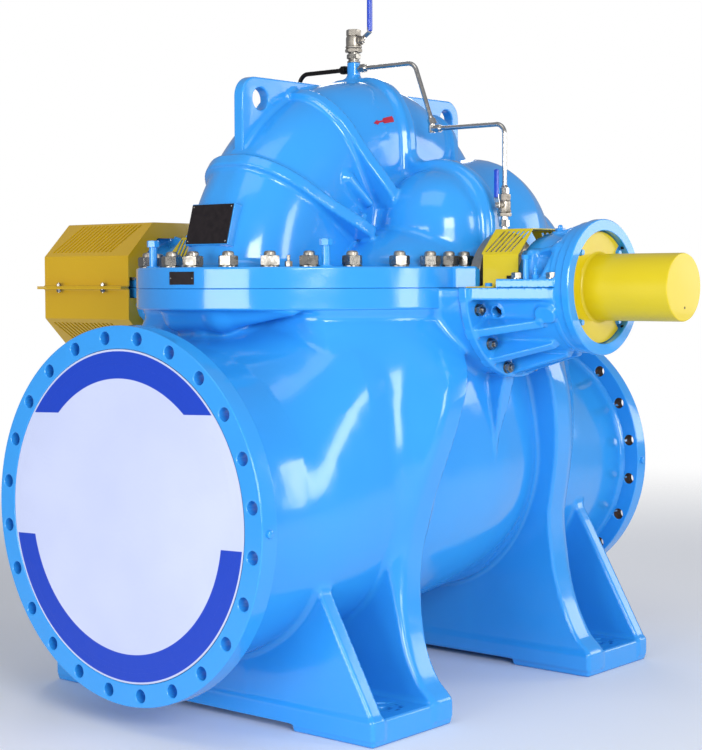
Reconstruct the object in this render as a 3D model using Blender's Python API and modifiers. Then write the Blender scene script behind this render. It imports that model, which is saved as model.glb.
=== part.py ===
"""Horizontal split-case, double-suction centrifugal pump on two cast legs.

Metres, +Z up. X runs along the shaft, with the tubular shaft guard at +X and the
eight-sided guard at -X. Water enters through the flange at -Y and leaves at +Y.
The shapes are drawn about the middle of the casing, and are then moved along the shaft
so that the origin is on the floor, midway between the ends of the two guards.
"""
import math

import bmesh
import bpy
from mathutils import Matrix, Vector

# Driving dimensions, in metres
SHAFT_HEIGHT = 1.042
FACE_TO_FACE = 1.720
TOUCHING_GAP = 0.0003

# Standard flanges: nominal bore 700 at the suction and 600 at the discharge
SUCTION_FLANGE_RADIUS = 0.4475
SUCTION_BOLT_CIRCLE = 0.420
SUCTION_BOLT_COUNT = 24
SUCTION_CENTRE_HEIGHT = 0.511
SUCTION_FLANGE_THICKNESS = 0.050
DISCHARGE_FLANGE_RADIUS = 0.390
DISCHARGE_BOLT_CIRCLE = 0.3625
DISCHARGE_BOLT_COUNT = 20
DISCHARGE_CENTRE_HEIGHT = 0.531
DISCHARGE_FLANGE_THICKNESS = 0.045
FLANGE_HOLE_RADIUS = 0.0155
COVER_SHEET_THICKNESS = 0.002
COVER_SEAT_DEPTH = 0.0025
SUCTION_SHEET_RADIUS = 0.392
DISCHARGE_SHEET_RADIUS = 0.335

# Split flange between the two halves of the casing
SPLIT_HALF_LENGTH = 0.466
SPLIT_HALF_WIDTH = 0.680
SPLIT_FRONT_SQUARENESS = 2.02
SPLIT_REAR_SQUARENESS = 2.45
SPLIT_FLANGE_THICKNESS = 0.052

# Volute: its outer radius grows evenly from the +Y side over the top to the -Y side
VOLUTE_RADIUS_START = 0.492
VOLUTE_GROWTH_PER_TURN = 0.200
VOLUTE_HALF_WIDTH = 0.175
VOLUTE_CORNER_WIDTH = 0.135
VOLUTE_CORNER_HEIGHT = 0.170
VOLUTE_FRONT_HALF_WIDTH = 0.162
VOLUTE_FRONT_CORNER_WIDTH = 0.145
VOLUTE_FRONT_CORNER_HEIGHT = 0.200
VOLUTE_FRONT_ANGLES = (95.0, 150.0)
VOLUTE_FOOT_FLARE = 0.015
VOLUTE_INNER_RADIUS = 0.100
CORE_RADIUS = 0.160
CORE_HALF_LENGTH = 0.300

# Suction domes beside the volute, one at each end of the shaft
DOME_CENTRE_X = 0.268
DOME_CENTRE_HEIGHT = 1.180
DOME_RADIUS = 0.182
DOME_FOOT_HEIGHT = 1.060
# Balls that each dome is stretched over behind its front, as (x, y, height, radius)
DOME_REAR_BALLS = ((0.250, 0.180, 1.182, 0.192), (0.220, 0.365, 1.115, 0.170))

# Hoops cast on the upper casing, by their angle above the -Y side
HOOP_ANGLES = (33.0, 61.0, 90.0, 119.0, 147.0)
HOOP_HEIGHT = 0.016
HOOP_SIDE_HEIGHT = 0.008
HOOP_THICKNESS = 0.028

# Lifting plate across the shaft
LUG_HALF_SPAN = 0.460
LUG_TOP_HEIGHT = 1.570
LUG_BOTTOM_HEIGHT = 1.120
LUG_CORNER_RADIUS = 0.050
LUG_THICKNESS = 0.030
LUG_HOLE_Y = 0.393
LUG_HOLE_HEIGHT = 1.516
LUG_HOLE_RADIUS = 0.028

# Legs
FOOT_HALF_LENGTH = 0.545
FOOT_HEIGHT = 0.060
FOOT_PAD_INNER_X = 0.298
FOOT_RELIEF = 0.020
LEG_OUTER_Y = 0.602
LEG_INNER_Y = 0.3035
LEG_PLATE_THICKNESS = 0.042
LEG_TOP_HEIGHT = 0.500
GUSSET_TOP_X = 0.365
GUSSET_TOP_HEIGHT = 0.378
RIB_THICKNESS = 0.075
RIB_FLANK_SLOPE = 0.6
LEG_CORE_HALF_LENGTH = 0.150
BRACKET_GUSSET_THICKNESS = 0.046
BRACKET_GUSSET_EDGE = ((0.400, 0.560), (0.452, 0.618), (0.5045, 0.830), (0.400, 0.860))
ANCHOR_X = 0.465
ANCHOR_Y = 0.470
ANCHOR_RADIUS = 0.021
ANCHOR_SEAT_RADIUS = 0.042
ANCHOR_SEAT_DEPTH = 0.003
ANCHOR_CUT_TOP = 0.100

# Seal glands and bearing brackets, measured out from the middle of the shaft
GLAND_INNER_X = 0.470
BRACKET_INNER_X = 0.505
BRACKET_RIM_THICKNESS = 0.024
BRACKET_RIM_RADIUS = 0.225
BRACKET_SEAT_RADIUS = 0.219
BEARING_INNER_X = 0.600
BEARING_OUTER_X = 0.735
BRACKET_BODY_RADIUS = 0.150
BRACKET_LEDGE_THICKNESS = 0.030
BRACKET_WELL_RADIUS = 0.122
BRACKET_FIN_ANGLES = (20.0, 45.0, 68.0, 90.0, 112.0, 135.0, 160.0)
BRACKET_FIN_THICKNESS = 0.018
BRACKET_FIN_ROOT_RADIUS = 0.213
BRACKET_FIN_WAIST_X = 0.585
BRACKET_FIN_TIP_RADIUS = 0.154
LEDGE_START_HALF_WIDTH = 0.222
LEDGE_END_HALF_WIDTH = 0.158
GLAND_RADIUS = 0.138
GLAND_PLATE_THICKNESS = 0.030
GLAND_HUB_RADIUS = 0.080
GLAND_HUB_END_X = 0.525
SHAFT_RADIUS = 0.045
LEFT_SHAFT_END_X = 0.930
CAP_RADIUS = 0.128
CAP_LEDGE_THICKNESS = 0.021
CAP_LEDGE_HALF_WIDTH = 0.195
CAP_FIN_ANGLES = (40.0, 90.0, 140.0)
CAP_FIN_THICKNESS = 0.014
CAP_FIN_INNER_RADIUS = 0.134
CAP_FIN_OUTER_RADIUS = 0.152
FIN_END_INSET = 0.004
FIN_CORE_RADIUS = 0.100
RING_STEP_X = 0.752
RING_OUTER_X = 0.7775
RING_STEP_RADIUS = 0.163
RING_RADIUS = 0.156
RING_SEAT_RADIUS = 0.1365
RING_SEAT_DEPTH = 0.006
STUFFING_BOX_RADIUS = 0.150
STUFFING_BOX_ROOT_X = 0.240

# How far a shape runs into another that it is joined to, and past one that it cuts
BURIED = 0.010

# Guards
TUBE_GUARD_RADIUS = 0.0805
TUBE_GUARD_END_X = 0.992
TUBE_GUARD_DISC_RADIUS = 0.135
TUBE_GUARD_DISC_THICKNESS = 0.008
GUARD_SHEET = 0.003
GLAND_GUARD_START_X = 0.512
GLAND_GUARD_END_X = 0.592
GLAND_GUARD_HALF_WIDTH = 0.142
GLAND_GUARD_TOP_HALF_WIDTH = 0.078
GLAND_GUARD_TOP_HEIGHT = 1.186
GLAND_GUARD_SHOULDER_HEIGHT = 1.122
END_GUARD_START_X = -0.700
END_GUARD_END_X = -1.070
END_GUARD_HALF_SIZE = 0.190
END_GUARD_CORNER = 0.092
END_GUARD_SHEET = 0.004
END_GUARD_LIP = 0.030
END_GUARD_BORE_RADIUS = 0.070
BEND_SHARE = 0.41

# Vent on top of the casing and the two flush lines to the seals
VENT_X = -0.010
VENT_NECK_RADIUS = 0.0175
VENT_NECK_TOP = 1.644
VENT_FOOT_HEIGHT = 1.530
VENT_NIPPLE_RADIUS = 0.0135
VENT_VALVE_BOTTOM = 1.671
VENT_VALVE_TOP = 1.732
VENT_VALVE_RADIUS = 0.021
VENT_LEVER_LENGTH = 0.105
FITTING_ACROSS_FLATS = 0.019
FITTING_LENGTH = 0.026
FLUSH_PIPE_RADIUS = 0.006
FLUSH_TAKE_OFF_HEIGHT = 1.627
FLUSH_SHOULDER_X = 0.196
UPPER_BEND_RADIUS = 0.030
FLUSH_ELBOW_X = 0.254
FLUSH_ELBOW_HEIGHT = 1.452
FLUSH_ELBOW_ARM = 0.032
ELBOW_MOUTH = 0.0025
LOWER_BEND_RADIUS = 0.026
FLUSH_LINE_X = 0.483
FLUSH_VALVE_BOTTOM = 1.220
FLUSH_VALVE_TOP = 1.276
FLUSH_VALVE_RADIUS = 0.016
FLUSH_LEVER_LENGTH = 0.080
FLUSH_NUT_LENGTH = 0.022
FLUSH_SPIGOT_RADIUS = 0.009
FLUSH_SPIGOT_LENGTH = 0.014

# Ball valve, as shares of its length or of its radius
VALVE_HEXAGON_SHARE = 0.24
VALVE_HEXAGON_SIZE = 1.9
VALVE_BOSS_SIZE = 0.52
VALVE_STEM_LENGTH = 0.012
LEVER_HUB_SIZE = 0.95
LEVER_HUB_THICKNESS = 0.007
LEVER_BLADE_SIZE = 0.34
LEVER_BLADE_INSET = 0.0015
LEVER_BLADE_THICKNESS = 0.0045
LEVER_GRIP_START = 0.38
LEVER_GRIP_SIZE = 0.44
LEVER_GRIP_COAT = 0.0012

# Name plate on the hump, by its angle from +Y over the top
NAME_PLATE_ANGLE = 164.5
NAME_PLATE_X = 0.005
NAME_PLATE_HALF_LENGTH = 0.070
NAME_PLATE_HALF_HEIGHT = 0.050
NAME_PLATE_THICKNESS = 0.002
NAME_PLATE_PAD_HEIGHT = 0.005
NAME_PLATE_PAD_DEPTH = 0.060
NAME_PLATE_PAD_MARGIN = 0.006

# Facets
SECTION_POINTS = 36
SPLIT_POINTS = 56
ROUND_SIDES = 32
FLANGE_SIDES = 72
SHEET_SIDES = 64
RING_SIDES = 48
HOUSING_SIDES = 40
SEAT_SIDES = 24
HOLE_SIDES = 12
SMALL_SIDES = 16

# Joint lines worked out from the above
SPLIT_TOP = SHAFT_HEIGHT + TOUCHING_GAP / 2
SPLIT_BOTTOM = SHAFT_HEIGHT - TOUCHING_GAP / 2
PORT_Y = FACE_TO_FACE / 2
SIDES = {"right": 1, "left": -1}

PART_COLLECTION = "split_case_pump"
GUIDE_COLLECTION = "guides"


def clear_scene():
    """Remove whatever the file holds."""
    for item in list(bpy.data.objects):
        bpy.data.objects.remove(item, do_unlink=True)
    for group in list(bpy.data.collections):
        bpy.data.collections.remove(group)


def new_collection(name):
    """Add a collection to the scene."""
    group = bpy.data.collections.new(name)
    bpy.context.scene.collection.children.link(group)
    return group


def material(name, colour, roughness, metallic=0.0):
    """Principled material with one colour."""
    made = bpy.data.materials.get(name)
    if made is None:
        made = bpy.data.materials.new(name)
        made.use_nodes = True
        shader = made.node_tree.nodes["Principled BSDF"]
        shader.inputs["Base Color"].default_value = (*colour, 1.0)
        shader.inputs["Roughness"].default_value = roughness
        shader.inputs["Metallic"].default_value = metallic
    return made


def blue_enamel():
    return material("blue_enamel", (0.047, 0.342, 0.863), 0.25)


def yellow_enamel():
    return material("yellow_enamel", (0.787, 0.651, 0.036), 0.35)


def steel():
    return material("bright_steel", (0.55, 0.54, 0.52), 0.3, 1.0)


def lever_blue():
    return material("lever_vinyl", (0.01, 0.06, 0.55), 0.4)


def mesh_object(name, form):
    """Object from a bmesh, which is freed."""
    mesh = bpy.data.meshes.new(name)
    bmesh.ops.recalc_face_normals(form, faces=form.faces)
    form.to_mesh(mesh)
    form.free()
    return bpy.data.objects.new(name, mesh)


def finish_part(item, coat):
    """Put a finished piece in the pump's collection with its material and smooth shading."""
    bpy.data.collections[PART_COLLECTION].objects.link(item)
    item.data.materials.clear()
    item.data.materials.append(coat)
    item.data.shade_smooth()
    item.data.set_sharp_from_angle(angle=math.radians(35))
    return item


def centre_on_origin():
    """Move every piece along the shaft, so that the pump's length is centred on the origin."""
    for item in bpy.data.collections[PART_COLLECTION].objects:
        item.location.x -= (TUBE_GUARD_END_X + END_GUARD_END_X) / 2


def set_pivot(item, pivot):
    """Move an object's origin to its joint, leaving the shape where it is."""
    item.data.transform(Matrix.Translation(-Vector(pivot)))
    item.location = pivot


def evaluated_copy(item, name):
    """Mesh object with the source's modifiers or curve settings worked in and its seams welded."""
    bpy.context.view_layer.update()
    graph = bpy.context.evaluated_depsgraph_get()
    mesh = bpy.data.meshes.new_from_object(item.evaluated_get(graph))
    form = bmesh.new()
    form.from_mesh(mesh)
    bmesh.ops.remove_doubles(form, verts=form.verts, dist=0.00002)
    bmesh.ops.recalc_face_normals(form, faces=form.faces)
    form.to_mesh(mesh)
    form.free()
    place = item.matrix_world.copy()
    bpy.data.objects.remove(item, do_unlink=True)
    solid = bpy.data.objects.new(name, mesh)
    solid.matrix_world = place
    return solid


def combine(base, others, operation):
    """Join the other shapes to the base, or cut them from it, and return the new solid."""
    name = base.name
    group = bpy.data.collections.new(name + "_" + operation.lower())
    bpy.context.scene.collection.children.link(group)
    for other in others:
        group.objects.link(other)
    bpy.data.collections[GUIDE_COLLECTION].objects.link(base)
    boolean = base.modifiers.new(operation, "BOOLEAN")
    boolean.operation = operation
    boolean.operand_type = "COLLECTION"
    boolean.collection = group
    boolean.solver = "EXACT"
    solid = evaluated_copy(base, name)
    for other in others:
        bpy.data.objects.remove(other, do_unlink=True)
    bpy.data.collections.remove(group)
    return solid


def union(base, others):
    return combine(base, others, "UNION")


def cut(base, others):
    return combine(base, others, "DIFFERENCE")


def box(name, low, high):
    """Box between two corners."""
    form = bmesh.new()
    bmesh.ops.create_cube(form, size=1.0)
    low = Vector(low)
    high = Vector(high)
    size = high - low
    bmesh.ops.scale(form, vec=size, verts=form.verts)
    bmesh.ops.translate(form, vec=(low + high) / 2, verts=form.verts)
    return mesh_object(name, form)


def rod(name, start, end, radius, sides=ROUND_SIDES, end_radius=None):
    """Round bar, or cone, between two points."""
    start = Vector(start)
    end = Vector(end)
    span = end - start
    form = bmesh.new()
    bmesh.ops.create_cone(form, cap_ends=True, segments=sides, radius1=radius,
                          radius2=radius if end_radius is None else end_radius,
                          depth=span.length)
    turn = Vector((0, 0, 1)).rotation_difference(span).to_matrix().to_4x4()
    place = Matrix.Translation((start + end) / 2) @ turn
    bmesh.ops.transform(form, matrix=place, verts=form.verts)
    return mesh_object(name, form)


def hexagon(name, start, end, across_flats):
    """Six-sided bar between two points."""
    return rod(name, start, end, across_flats / math.sqrt(3), sides=6)


def turned(name, profile, start, direction, sides=ROUND_SIDES):
    """Body turned about an axis. The profile holds (radius, distance along the axis) pairs.

    The pairs run from the far end of the axis back to its start, down the outer side.
    """
    mesh = bpy.data.meshes.new(name)
    corners = [(radius, 0.0, along) for radius, along in profile]
    edges = [(index, index + 1) for index in range(len(corners) - 1)]
    if profile[0][0] > 0.0:
        edges.append((len(corners) - 1, 0))
    mesh.from_pydata(corners, edges, [])
    item = bpy.data.objects.new(name, mesh)
    screw = item.modifiers.new("turn", "SCREW")
    screw.axis = "Z"
    screw.steps = sides
    screw.render_steps = sides
    screw.use_merge_vertices = True
    screw.merge_threshold = 0.00002
    turn = Vector((0, 0, 1)).rotation_difference(Vector(direction)).to_matrix().to_4x4()
    item.matrix_world = Matrix.Translation(Vector(start)) @ turn
    bpy.data.collections[GUIDE_COLLECTION].objects.link(item)
    return settled(evaluated_copy(item, name))


def settled(item):
    """Work an object's placing into its mesh."""
    item.data.transform(item.matrix_world)
    item.matrix_world = Matrix.Identity(4)
    return item


def flat_outline(name, loops, thickness, place):
    """Plate from closed outlines, the first being its edge and the rest its holes."""
    curve = bpy.data.curves.new(name, "CURVE")
    curve.dimensions = "2D"
    curve.fill_mode = "BOTH"
    curve.extrude = thickness / 2
    curve.render_resolution_u = 0
    for loop in loops:
        spline = curve.splines.new("POLY")
        spline.points.add(len(loop) - 1)
        for point, (across, up) in zip(spline.points, loop):
            point.co = (across, up, 0.0, 1.0)
        spline.use_cyclic_u = True
    item = bpy.data.objects.new(name, curve)
    item.matrix_world = place
    bpy.data.collections[GUIDE_COLLECTION].objects.link(item)
    return settled(evaluated_copy(item, name))


def plane_square_to_x(x):
    """Places an outline's (across, up) as (Y, Z), square to the shaft."""
    return Matrix(((0, 0, 1, x), (1, 0, 0, 0), (0, 1, 0, 0), (0, 0, 0, 1)))


def plane_square_to_y(y):
    """Places an outline's (across, up) as (X, Z), square to the flow."""
    return Matrix(((1, 0, 0, 0), (0, 0, -1, y), (0, 1, 0, 0), (0, 0, 0, 1)))


def plane_level(z):
    """Places an outline's (across, up) as (X, Y), level."""
    return Matrix.Translation((0, 0, z))


def outward_at(angle):
    """Direction away from the shaft, at an angle in degrees from +Y over the top."""
    turn = math.radians(angle)
    return Vector((0, math.cos(turn), math.sin(turn)))


def plane_through_shaft(angle):
    """Places an outline's (across, up) as (X, distance from the shaft)."""
    across = Vector((1, 0, 0))
    outward = outward_at(angle)
    along = across.cross(outward)
    place = Matrix((across, outward, along)).transposed().to_4x4()
    place.translation = (0, 0, SHAFT_HEIGHT)
    return place


def plane_facing_out(angle, distance, x):
    """Places an outline's (across, up) on a plane that faces away from the shaft."""
    across = Vector((1, 0, 0))
    outward = outward_at(angle)
    place = Matrix((across, outward.cross(across), outward)).transposed().to_4x4()
    place.translation = Vector((x, 0, SHAFT_HEIGHT)) + outward * distance
    return place


def arc(centre, radius, first, last, steps):
    """Points along an arc, in degrees, with both ends."""
    points = []
    for step in range(steps + 1):
        angle = math.radians(first + (last - first) * step / steps)
        points.append((centre[0] + radius * math.cos(angle), centre[1] + radius * math.sin(angle)))
    return points


def circle(centre, radius, sides):
    """Closed round outline."""
    return arc(centre, radius, 0, 360, sides)[:-1]


def tube(name, route, radius, resolution=2):
    """Round pipe along a list of points, with closed ends."""
    curve = bpy.data.curves.new(name, "CURVE")
    curve.dimensions = "3D"
    curve.bevel_depth = radius
    curve.bevel_resolution = resolution
    curve.use_fill_caps = True
    curve.render_resolution_u = 0
    spline = curve.splines.new("POLY")
    spline.points.add(len(route) - 1)
    for point, place in zip(spline.points, route):
        point.co = (*place, 1.0)
    item = bpy.data.objects.new(name, curve)
    bpy.data.collections[GUIDE_COLLECTION].objects.link(item)
    return evaluated_copy(item, name)


def bend(corners, radius, steps=5):
    """Route through corner points with a round bend at each inner corner."""
    corners = [Vector(corner) for corner in corners]
    route = [corners[0]]
    for before, corner, after in zip(corners, corners[1:], corners[2:]):
        back = (before - corner).normalized()
        ahead = (after - corner).normalized()
        reach = radius * math.tan((math.pi - back.angle(ahead)) / 2)
        for step in range(steps + 1):
            share = step / steps
            near = corner + back * reach * (1 - share)
            far = corner + ahead * reach * share
            route.append(near.lerp(far, share))
    route.append(corners[-1])
    return route


def loft(name, rings):
    """Closed body through rings with the same number of points."""
    form = bmesh.new()
    rows = [[form.verts.new(point) for point in ring] for ring in rings]
    count = len(rows[0])
    for row, following in zip(rows, rows[1:]):
        for index in range(count):
            beside = (index + 1) % count
            form.faces.new((row[index], row[beside], following[beside], following[index]))
    form.faces.new(rows[0])
    form.faces.new(rows[-1])
    bmesh.ops.triangulate(form, faces=[face for face in form.faces if len(face.verts) == 4])
    return mesh_object(name, form)


def hull_of_balls(name, balls, sides=24):
    """Smooth body stretched over several balls, each (centre, radius)."""
    form = bmesh.new()
    for centre, radius in balls:
        bmesh.ops.create_uvsphere(form, u_segments=sides, v_segments=sides // 2, radius=radius,
                                  matrix=Matrix.Translation(centre))
    hull = bmesh.ops.convex_hull(form, input=form.verts, use_existing_faces=False)
    loose = set(hull["geom_interior"]) | set(hull["geom_unused"])
    verts = [item for item in loose if isinstance(item, bmesh.types.BMVert)]
    bmesh.ops.delete(form, geom=verts, context="VERTS")
    kept = {item for item in hull["geom"] if isinstance(item, bmesh.types.BMFace)}
    spare = [face for face in form.faces if face not in kept]
    bmesh.ops.delete(form, geom=spare, context="FACES")
    return mesh_object(name, form)


def oval(half_length, half_width, squareness, count, upper_squareness=None):
    """Rounded outline between an ellipse and a rectangle, whose upper half may be squarer."""
    points = []
    for step in range(count):
        angle = 2 * math.pi * (step + 0.5) / count
        upper = upper_squareness is not None and math.sin(angle) > 0.0
        power = 2.0 / (upper_squareness if upper else squareness)
        across = math.copysign(abs(math.cos(angle)) ** power, math.cos(angle))
        up = math.copysign(abs(math.sin(angle)) ** power, math.sin(angle))
        points.append((half_length * across, half_width * up))
    return points


def flow_section(y, half_width, bottom, top, squareness):
    """Ring of a water passage's outer wall, square to the flow."""
    middle = (bottom + top) / 2
    half_height = (top - bottom) / 2
    return [(x, y, middle + up)
            for x, up in oval(half_width, half_height, squareness, SECTION_POINTS)]


def volute_radius(angle):
    """Outer radius of the volute, at an angle in degrees from +Y over the top."""
    return VOLUTE_RADIUS_START + VOLUTE_GROWTH_PER_TURN * angle / 360.0


def towards_front(angle, back, front):
    """Value that changes evenly from the top of the volute to its front."""
    first, last = VOLUTE_FRONT_ANGLES
    share = min(1.0, max(0.0, (angle - first) / (last - first)))
    return back + (front - back) * share


def volute_profile(angle, rib_height=0.0, rib_side=0.0):
    """Half section of the volute as (x, distance from the shaft) pairs, from -X over to +X."""
    half_width = towards_front(angle, VOLUTE_HALF_WIDTH, VOLUTE_FRONT_HALF_WIDTH) + rib_side
    corner_width = towards_front(angle, VOLUTE_CORNER_WIDTH, VOLUTE_FRONT_CORNER_WIDTH)
    corner_height = towards_front(angle, VOLUTE_CORNER_HEIGHT, VOLUTE_FRONT_CORNER_HEIGHT)
    crest = volute_radius(angle) + rib_height
    side = [(half_width + VOLUTE_FOOT_FLARE, VOLUTE_INNER_RADIUS)]
    for step in range(7):
        angle = math.radians(90.0 * step / 6)
        side.append((half_width - corner_width * (1 - math.cos(angle)),
                     crest - corner_height * (1 - math.sin(angle))))
    mirrored = [(-x, rho) for x, rho in side]
    return mirrored + side[::-1]


def volute_body(name, first_angle, last_angle, steps):
    """Volute between two angles from +Y over the top."""
    rings = []
    for step in range(steps + 1):
        angle = first_angle + (last_angle - first_angle) * step / steps
        turn = math.radians(angle)
        rings.append([(x, rho * math.cos(turn), SHAFT_HEIGHT + rho * math.sin(turn))
                      for x, rho in volute_profile(angle)])
    return loft(name, rings)


def hoop(name, angle_above_suction):
    """Rib cast round the volute in a plane through the shaft's axis."""
    angle = 180.0 - angle_above_suction
    outline = volute_profile(angle, HOOP_HEIGHT, HOOP_SIDE_HEIGHT)
    return flat_outline(name, [outline], HOOP_THICKNESS, plane_through_shaft(angle))


def dome_body(name, side):
    """Suction passage that stands beside the volute at one end of the shaft."""
    front = (DOME_CENTRE_X, 0.0, DOME_CENTRE_HEIGHT, DOME_RADIUS)
    balls = []
    for x, y, height, radius in (front, *DOME_REAR_BALLS):
        balls.append((Vector((side * x, y, height)), radius))
        balls.append((Vector((side * x, y, DOME_FOOT_HEIGHT)), radius))
    return hull_of_balls(name, balls)


def dome_hoop(name, side):
    """Rib over the dome, in line with the volute's top rib."""
    radius = DOME_RADIUS + HOOP_HEIGHT
    outline = arc((side * DOME_CENTRE_X, DOME_CENTRE_HEIGHT), radius, 0, 180, 16)
    outline.append((side * DOME_CENTRE_X - radius, SHAFT_HEIGHT))
    outline.append((side * DOME_CENTRE_X + radius, SHAFT_HEIGHT))
    return flat_outline(name, [outline], HOOP_THICKNESS, plane_square_to_y(0.0))


def lifting_plate(name):
    """Plate across the casing with a lifting hole at each end."""
    reach = LUG_HALF_SPAN - LUG_CORNER_RADIUS
    height = LUG_TOP_HEIGHT - LUG_CORNER_RADIUS
    outline = [(LUG_HALF_SPAN, LUG_BOTTOM_HEIGHT)]
    outline += arc((reach, height), LUG_CORNER_RADIUS, 0, 90, 5)
    outline += arc((-reach, height), LUG_CORNER_RADIUS, 90, 180, 5)
    outline.append((-LUG_HALF_SPAN, LUG_BOTTOM_HEIGHT))
    holes = [circle((side * LUG_HOLE_Y, LUG_HOLE_HEIGHT), LUG_HOLE_RADIUS, SMALL_SIDES)
             for side in (-1, 1)]
    return flat_outline(name, [outline, *holes], LUG_THICKNESS, plane_square_to_x(0.0))


def split_plate(name, bottom, top):
    """One half of the split flange."""
    outline = oval(SPLIT_HALF_LENGTH, SPLIT_HALF_WIDTH, SPLIT_FRONT_SQUARENESS, SPLIT_POINTS,
                   SPLIT_REAR_SQUARENESS)
    return flat_outline(name, [outline], top - bottom, plane_level((bottom + top) / 2))


def core_bar(name):
    """Solid middle of the casing, round the shaft."""
    return rod(name, (-CORE_HALF_LENGTH, 0, SHAFT_HEIGHT), (CORE_HALF_LENGTH, 0, SHAFT_HEIGHT),
               CORE_RADIUS)


def stuffing_box(name, side, radius, end):
    """Round boss that carries a seal gland."""
    return rod(name, (side * STUFFING_BOX_ROOT_X, 0, SHAFT_HEIGHT),
               (side * end, 0, SHAFT_HEIGHT), radius)


def build_upper_casing():
    """Upper half of the casing, from the split line up."""
    plate = split_plate("upper_casing", SHAFT_HEIGHT - BURIED, SPLIT_TOP + SPLIT_FLANGE_THICKNESS)
    shapes = [core_bar("core"), volute_body("volute", -6.0, 186.0, 18), lifting_plate("lugs")]
    for number, angle in enumerate(HOOP_ANGLES):
        shapes.append(hoop(f"hoop_{number}", angle))
    for side in SIDES.values():
        shapes.append(dome_body(f"dome_{side}", side))
        shapes.append(dome_hoop(f"dome_hoop_{side}", side))
        shapes.append(stuffing_box(f"box_{side}", side, STUFFING_BOX_RADIUS, GLAND_INNER_X))
    shapes.append(rod("neck", (VENT_X, 0, VENT_FOOT_HEIGHT), (VENT_X, 0, VENT_NECK_TOP),
                      VENT_NECK_RADIUS, SMALL_SIDES))
    pad_top = volute_radius(NAME_PLATE_ANGLE) + NAME_PLATE_PAD_HEIGHT
    shapes.append(plate_on_hump("plate_pad", NAME_PLATE_HALF_LENGTH + NAME_PLATE_PAD_MARGIN,
                                NAME_PLATE_HALF_HEIGHT + NAME_PLATE_PAD_MARGIN,
                                pad_top - NAME_PLATE_PAD_DEPTH, pad_top))
    casing = union(plate, shapes)
    below = box("below", (-1, -1, 0), (1, 1, SPLIT_TOP))
    casing = cut(casing, [below])
    return finish_part(casing, blue_enamel())


def suction_chamber(name):
    """Outer wall of the suction passage, from the flange to behind the shaft."""
    high = SHAFT_HEIGHT + 0.010
    start = -PORT_Y + SUCTION_FLANGE_THICKNESS + TOUCHING_GAP
    return loft(name, [
        flow_section(start, 0.385, SUCTION_CENTRE_HEIGHT - 0.385,
                     SUCTION_CENTRE_HEIGHT + 0.385, 2.0),
        flow_section(-0.740, 0.392, 0.128, 0.900, 2.03),
        flow_section(-0.660, 0.408, 0.140, 0.915, 2.12),
        flow_section(-0.580, 0.424, 0.152, 0.945, 2.22),
        flow_section(-0.480, 0.436, 0.158, 0.990, 2.30),
        flow_section(-0.360, 0.446, 0.165, high, 2.36),
        flow_section(-0.220, 0.454, 0.178, high, 2.40),
        flow_section(-0.060, 0.456, 0.195, high, 2.40),
        flow_section(0.080, 0.452, 0.212, high, 2.36),
        flow_section(0.200, 0.432, 0.232, high, 2.30),
        flow_section(0.300, 0.392, 0.262, high, 2.24),
        flow_section(0.380, 0.330, 0.320, high, 2.16),
        flow_section(0.430, 0.240, 0.400, high, 2.10),
    ])


def discharge_passage(name):
    """Outer wall of the passage from the volute to the discharge flange."""
    end = PORT_Y - DISCHARGE_FLANGE_THICKNESS - TOUCHING_GAP
    return loft(name, [
        flow_section(0.000, 0.300, 0.240, 1.000, 2.20),
        flow_section(0.150, 0.330, 0.215, 1.000, 2.25),
        flow_section(0.300, 0.352, 0.200, 0.985, 2.25),
        flow_section(0.420, 0.358, 0.193, 0.955, 2.20),
        flow_section(0.540, 0.354, 0.190, 0.915, 2.12),
        flow_section(0.660, 0.344, 0.192, 0.883, 2.04),
        flow_section(0.740, 0.338, 0.194, 0.869, 2.00),
        flow_section(end, 0.335, DISCHARGE_CENTRE_HEIGHT - 0.335,
                     DISCHARGE_CENTRE_HEIGHT + 0.335, 2.0),
    ])


def leg_rib(name, flow_side):
    """Tall curved rib of a leg, from the foot to under the bearing brackets.

    It leans towards the shaft as it rises, and its outer side flares into the casing. Each row
    gives a height, the half span of the rib along the shaft, the place of its inner face along
    the flow and the width of the flare.
    """
    rows = (
        (FOOT_RELIEF, 0.545, LEG_INNER_Y, 0.004),
        (FOOT_HEIGHT, 0.545, LEG_INNER_Y, 0.004),
        (0.100, 0.505, LEG_INNER_Y, 0.004),
        (0.160, 0.476, 0.3020, 0.006),
        (0.240, 0.452, 0.2940, 0.010),
        (0.330, 0.440, 0.2840, 0.024),
        (0.430, 0.441, 0.2690, 0.050),
        (0.530, 0.462, 0.2580, 0.090),
        (0.620, 0.484, 0.2380, 0.130),
        (0.700, 0.498, 0.2140, 0.160),
        (0.780, 0.5045, 0.1880, 0.180),
        (0.860, 0.5045, 0.1580, 0.190),
        (0.960, 0.5045, 0.1400, 0.190),
    )
    rings = []
    for height, reach, inner, flare in rows:
        outer = inner + RIB_THICKNESS
        foot = reach - flare * RIB_FLANK_SLOPE
        half = [(reach, inner), (reach, outer), (foot, outer + flare)]
        around = half + [(-x, y) for x, y in reversed(half)]
        rings.append([(x, flow_side * y, height) for x, y in around])
    return loft(name, rings)


def leg_gusset(name, flow_side):
    """Outer plate of a leg, with its sloping edges."""
    edge = [(FOOT_HALF_LENGTH, FOOT_RELIEF), (FOOT_HALF_LENGTH, FOOT_HEIGHT),
            (GUSSET_TOP_X, GUSSET_TOP_HEIGHT), (0.250, LEG_TOP_HEIGHT)]
    outline = edge + [(-x, z) for x, z in reversed(edge)]
    middle = flow_side * (LEG_OUTER_Y - LEG_PLATE_THICKNESS / 2)
    return flat_outline(name, [outline], LEG_PLATE_THICKNESS, plane_square_to_y(middle))


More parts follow.
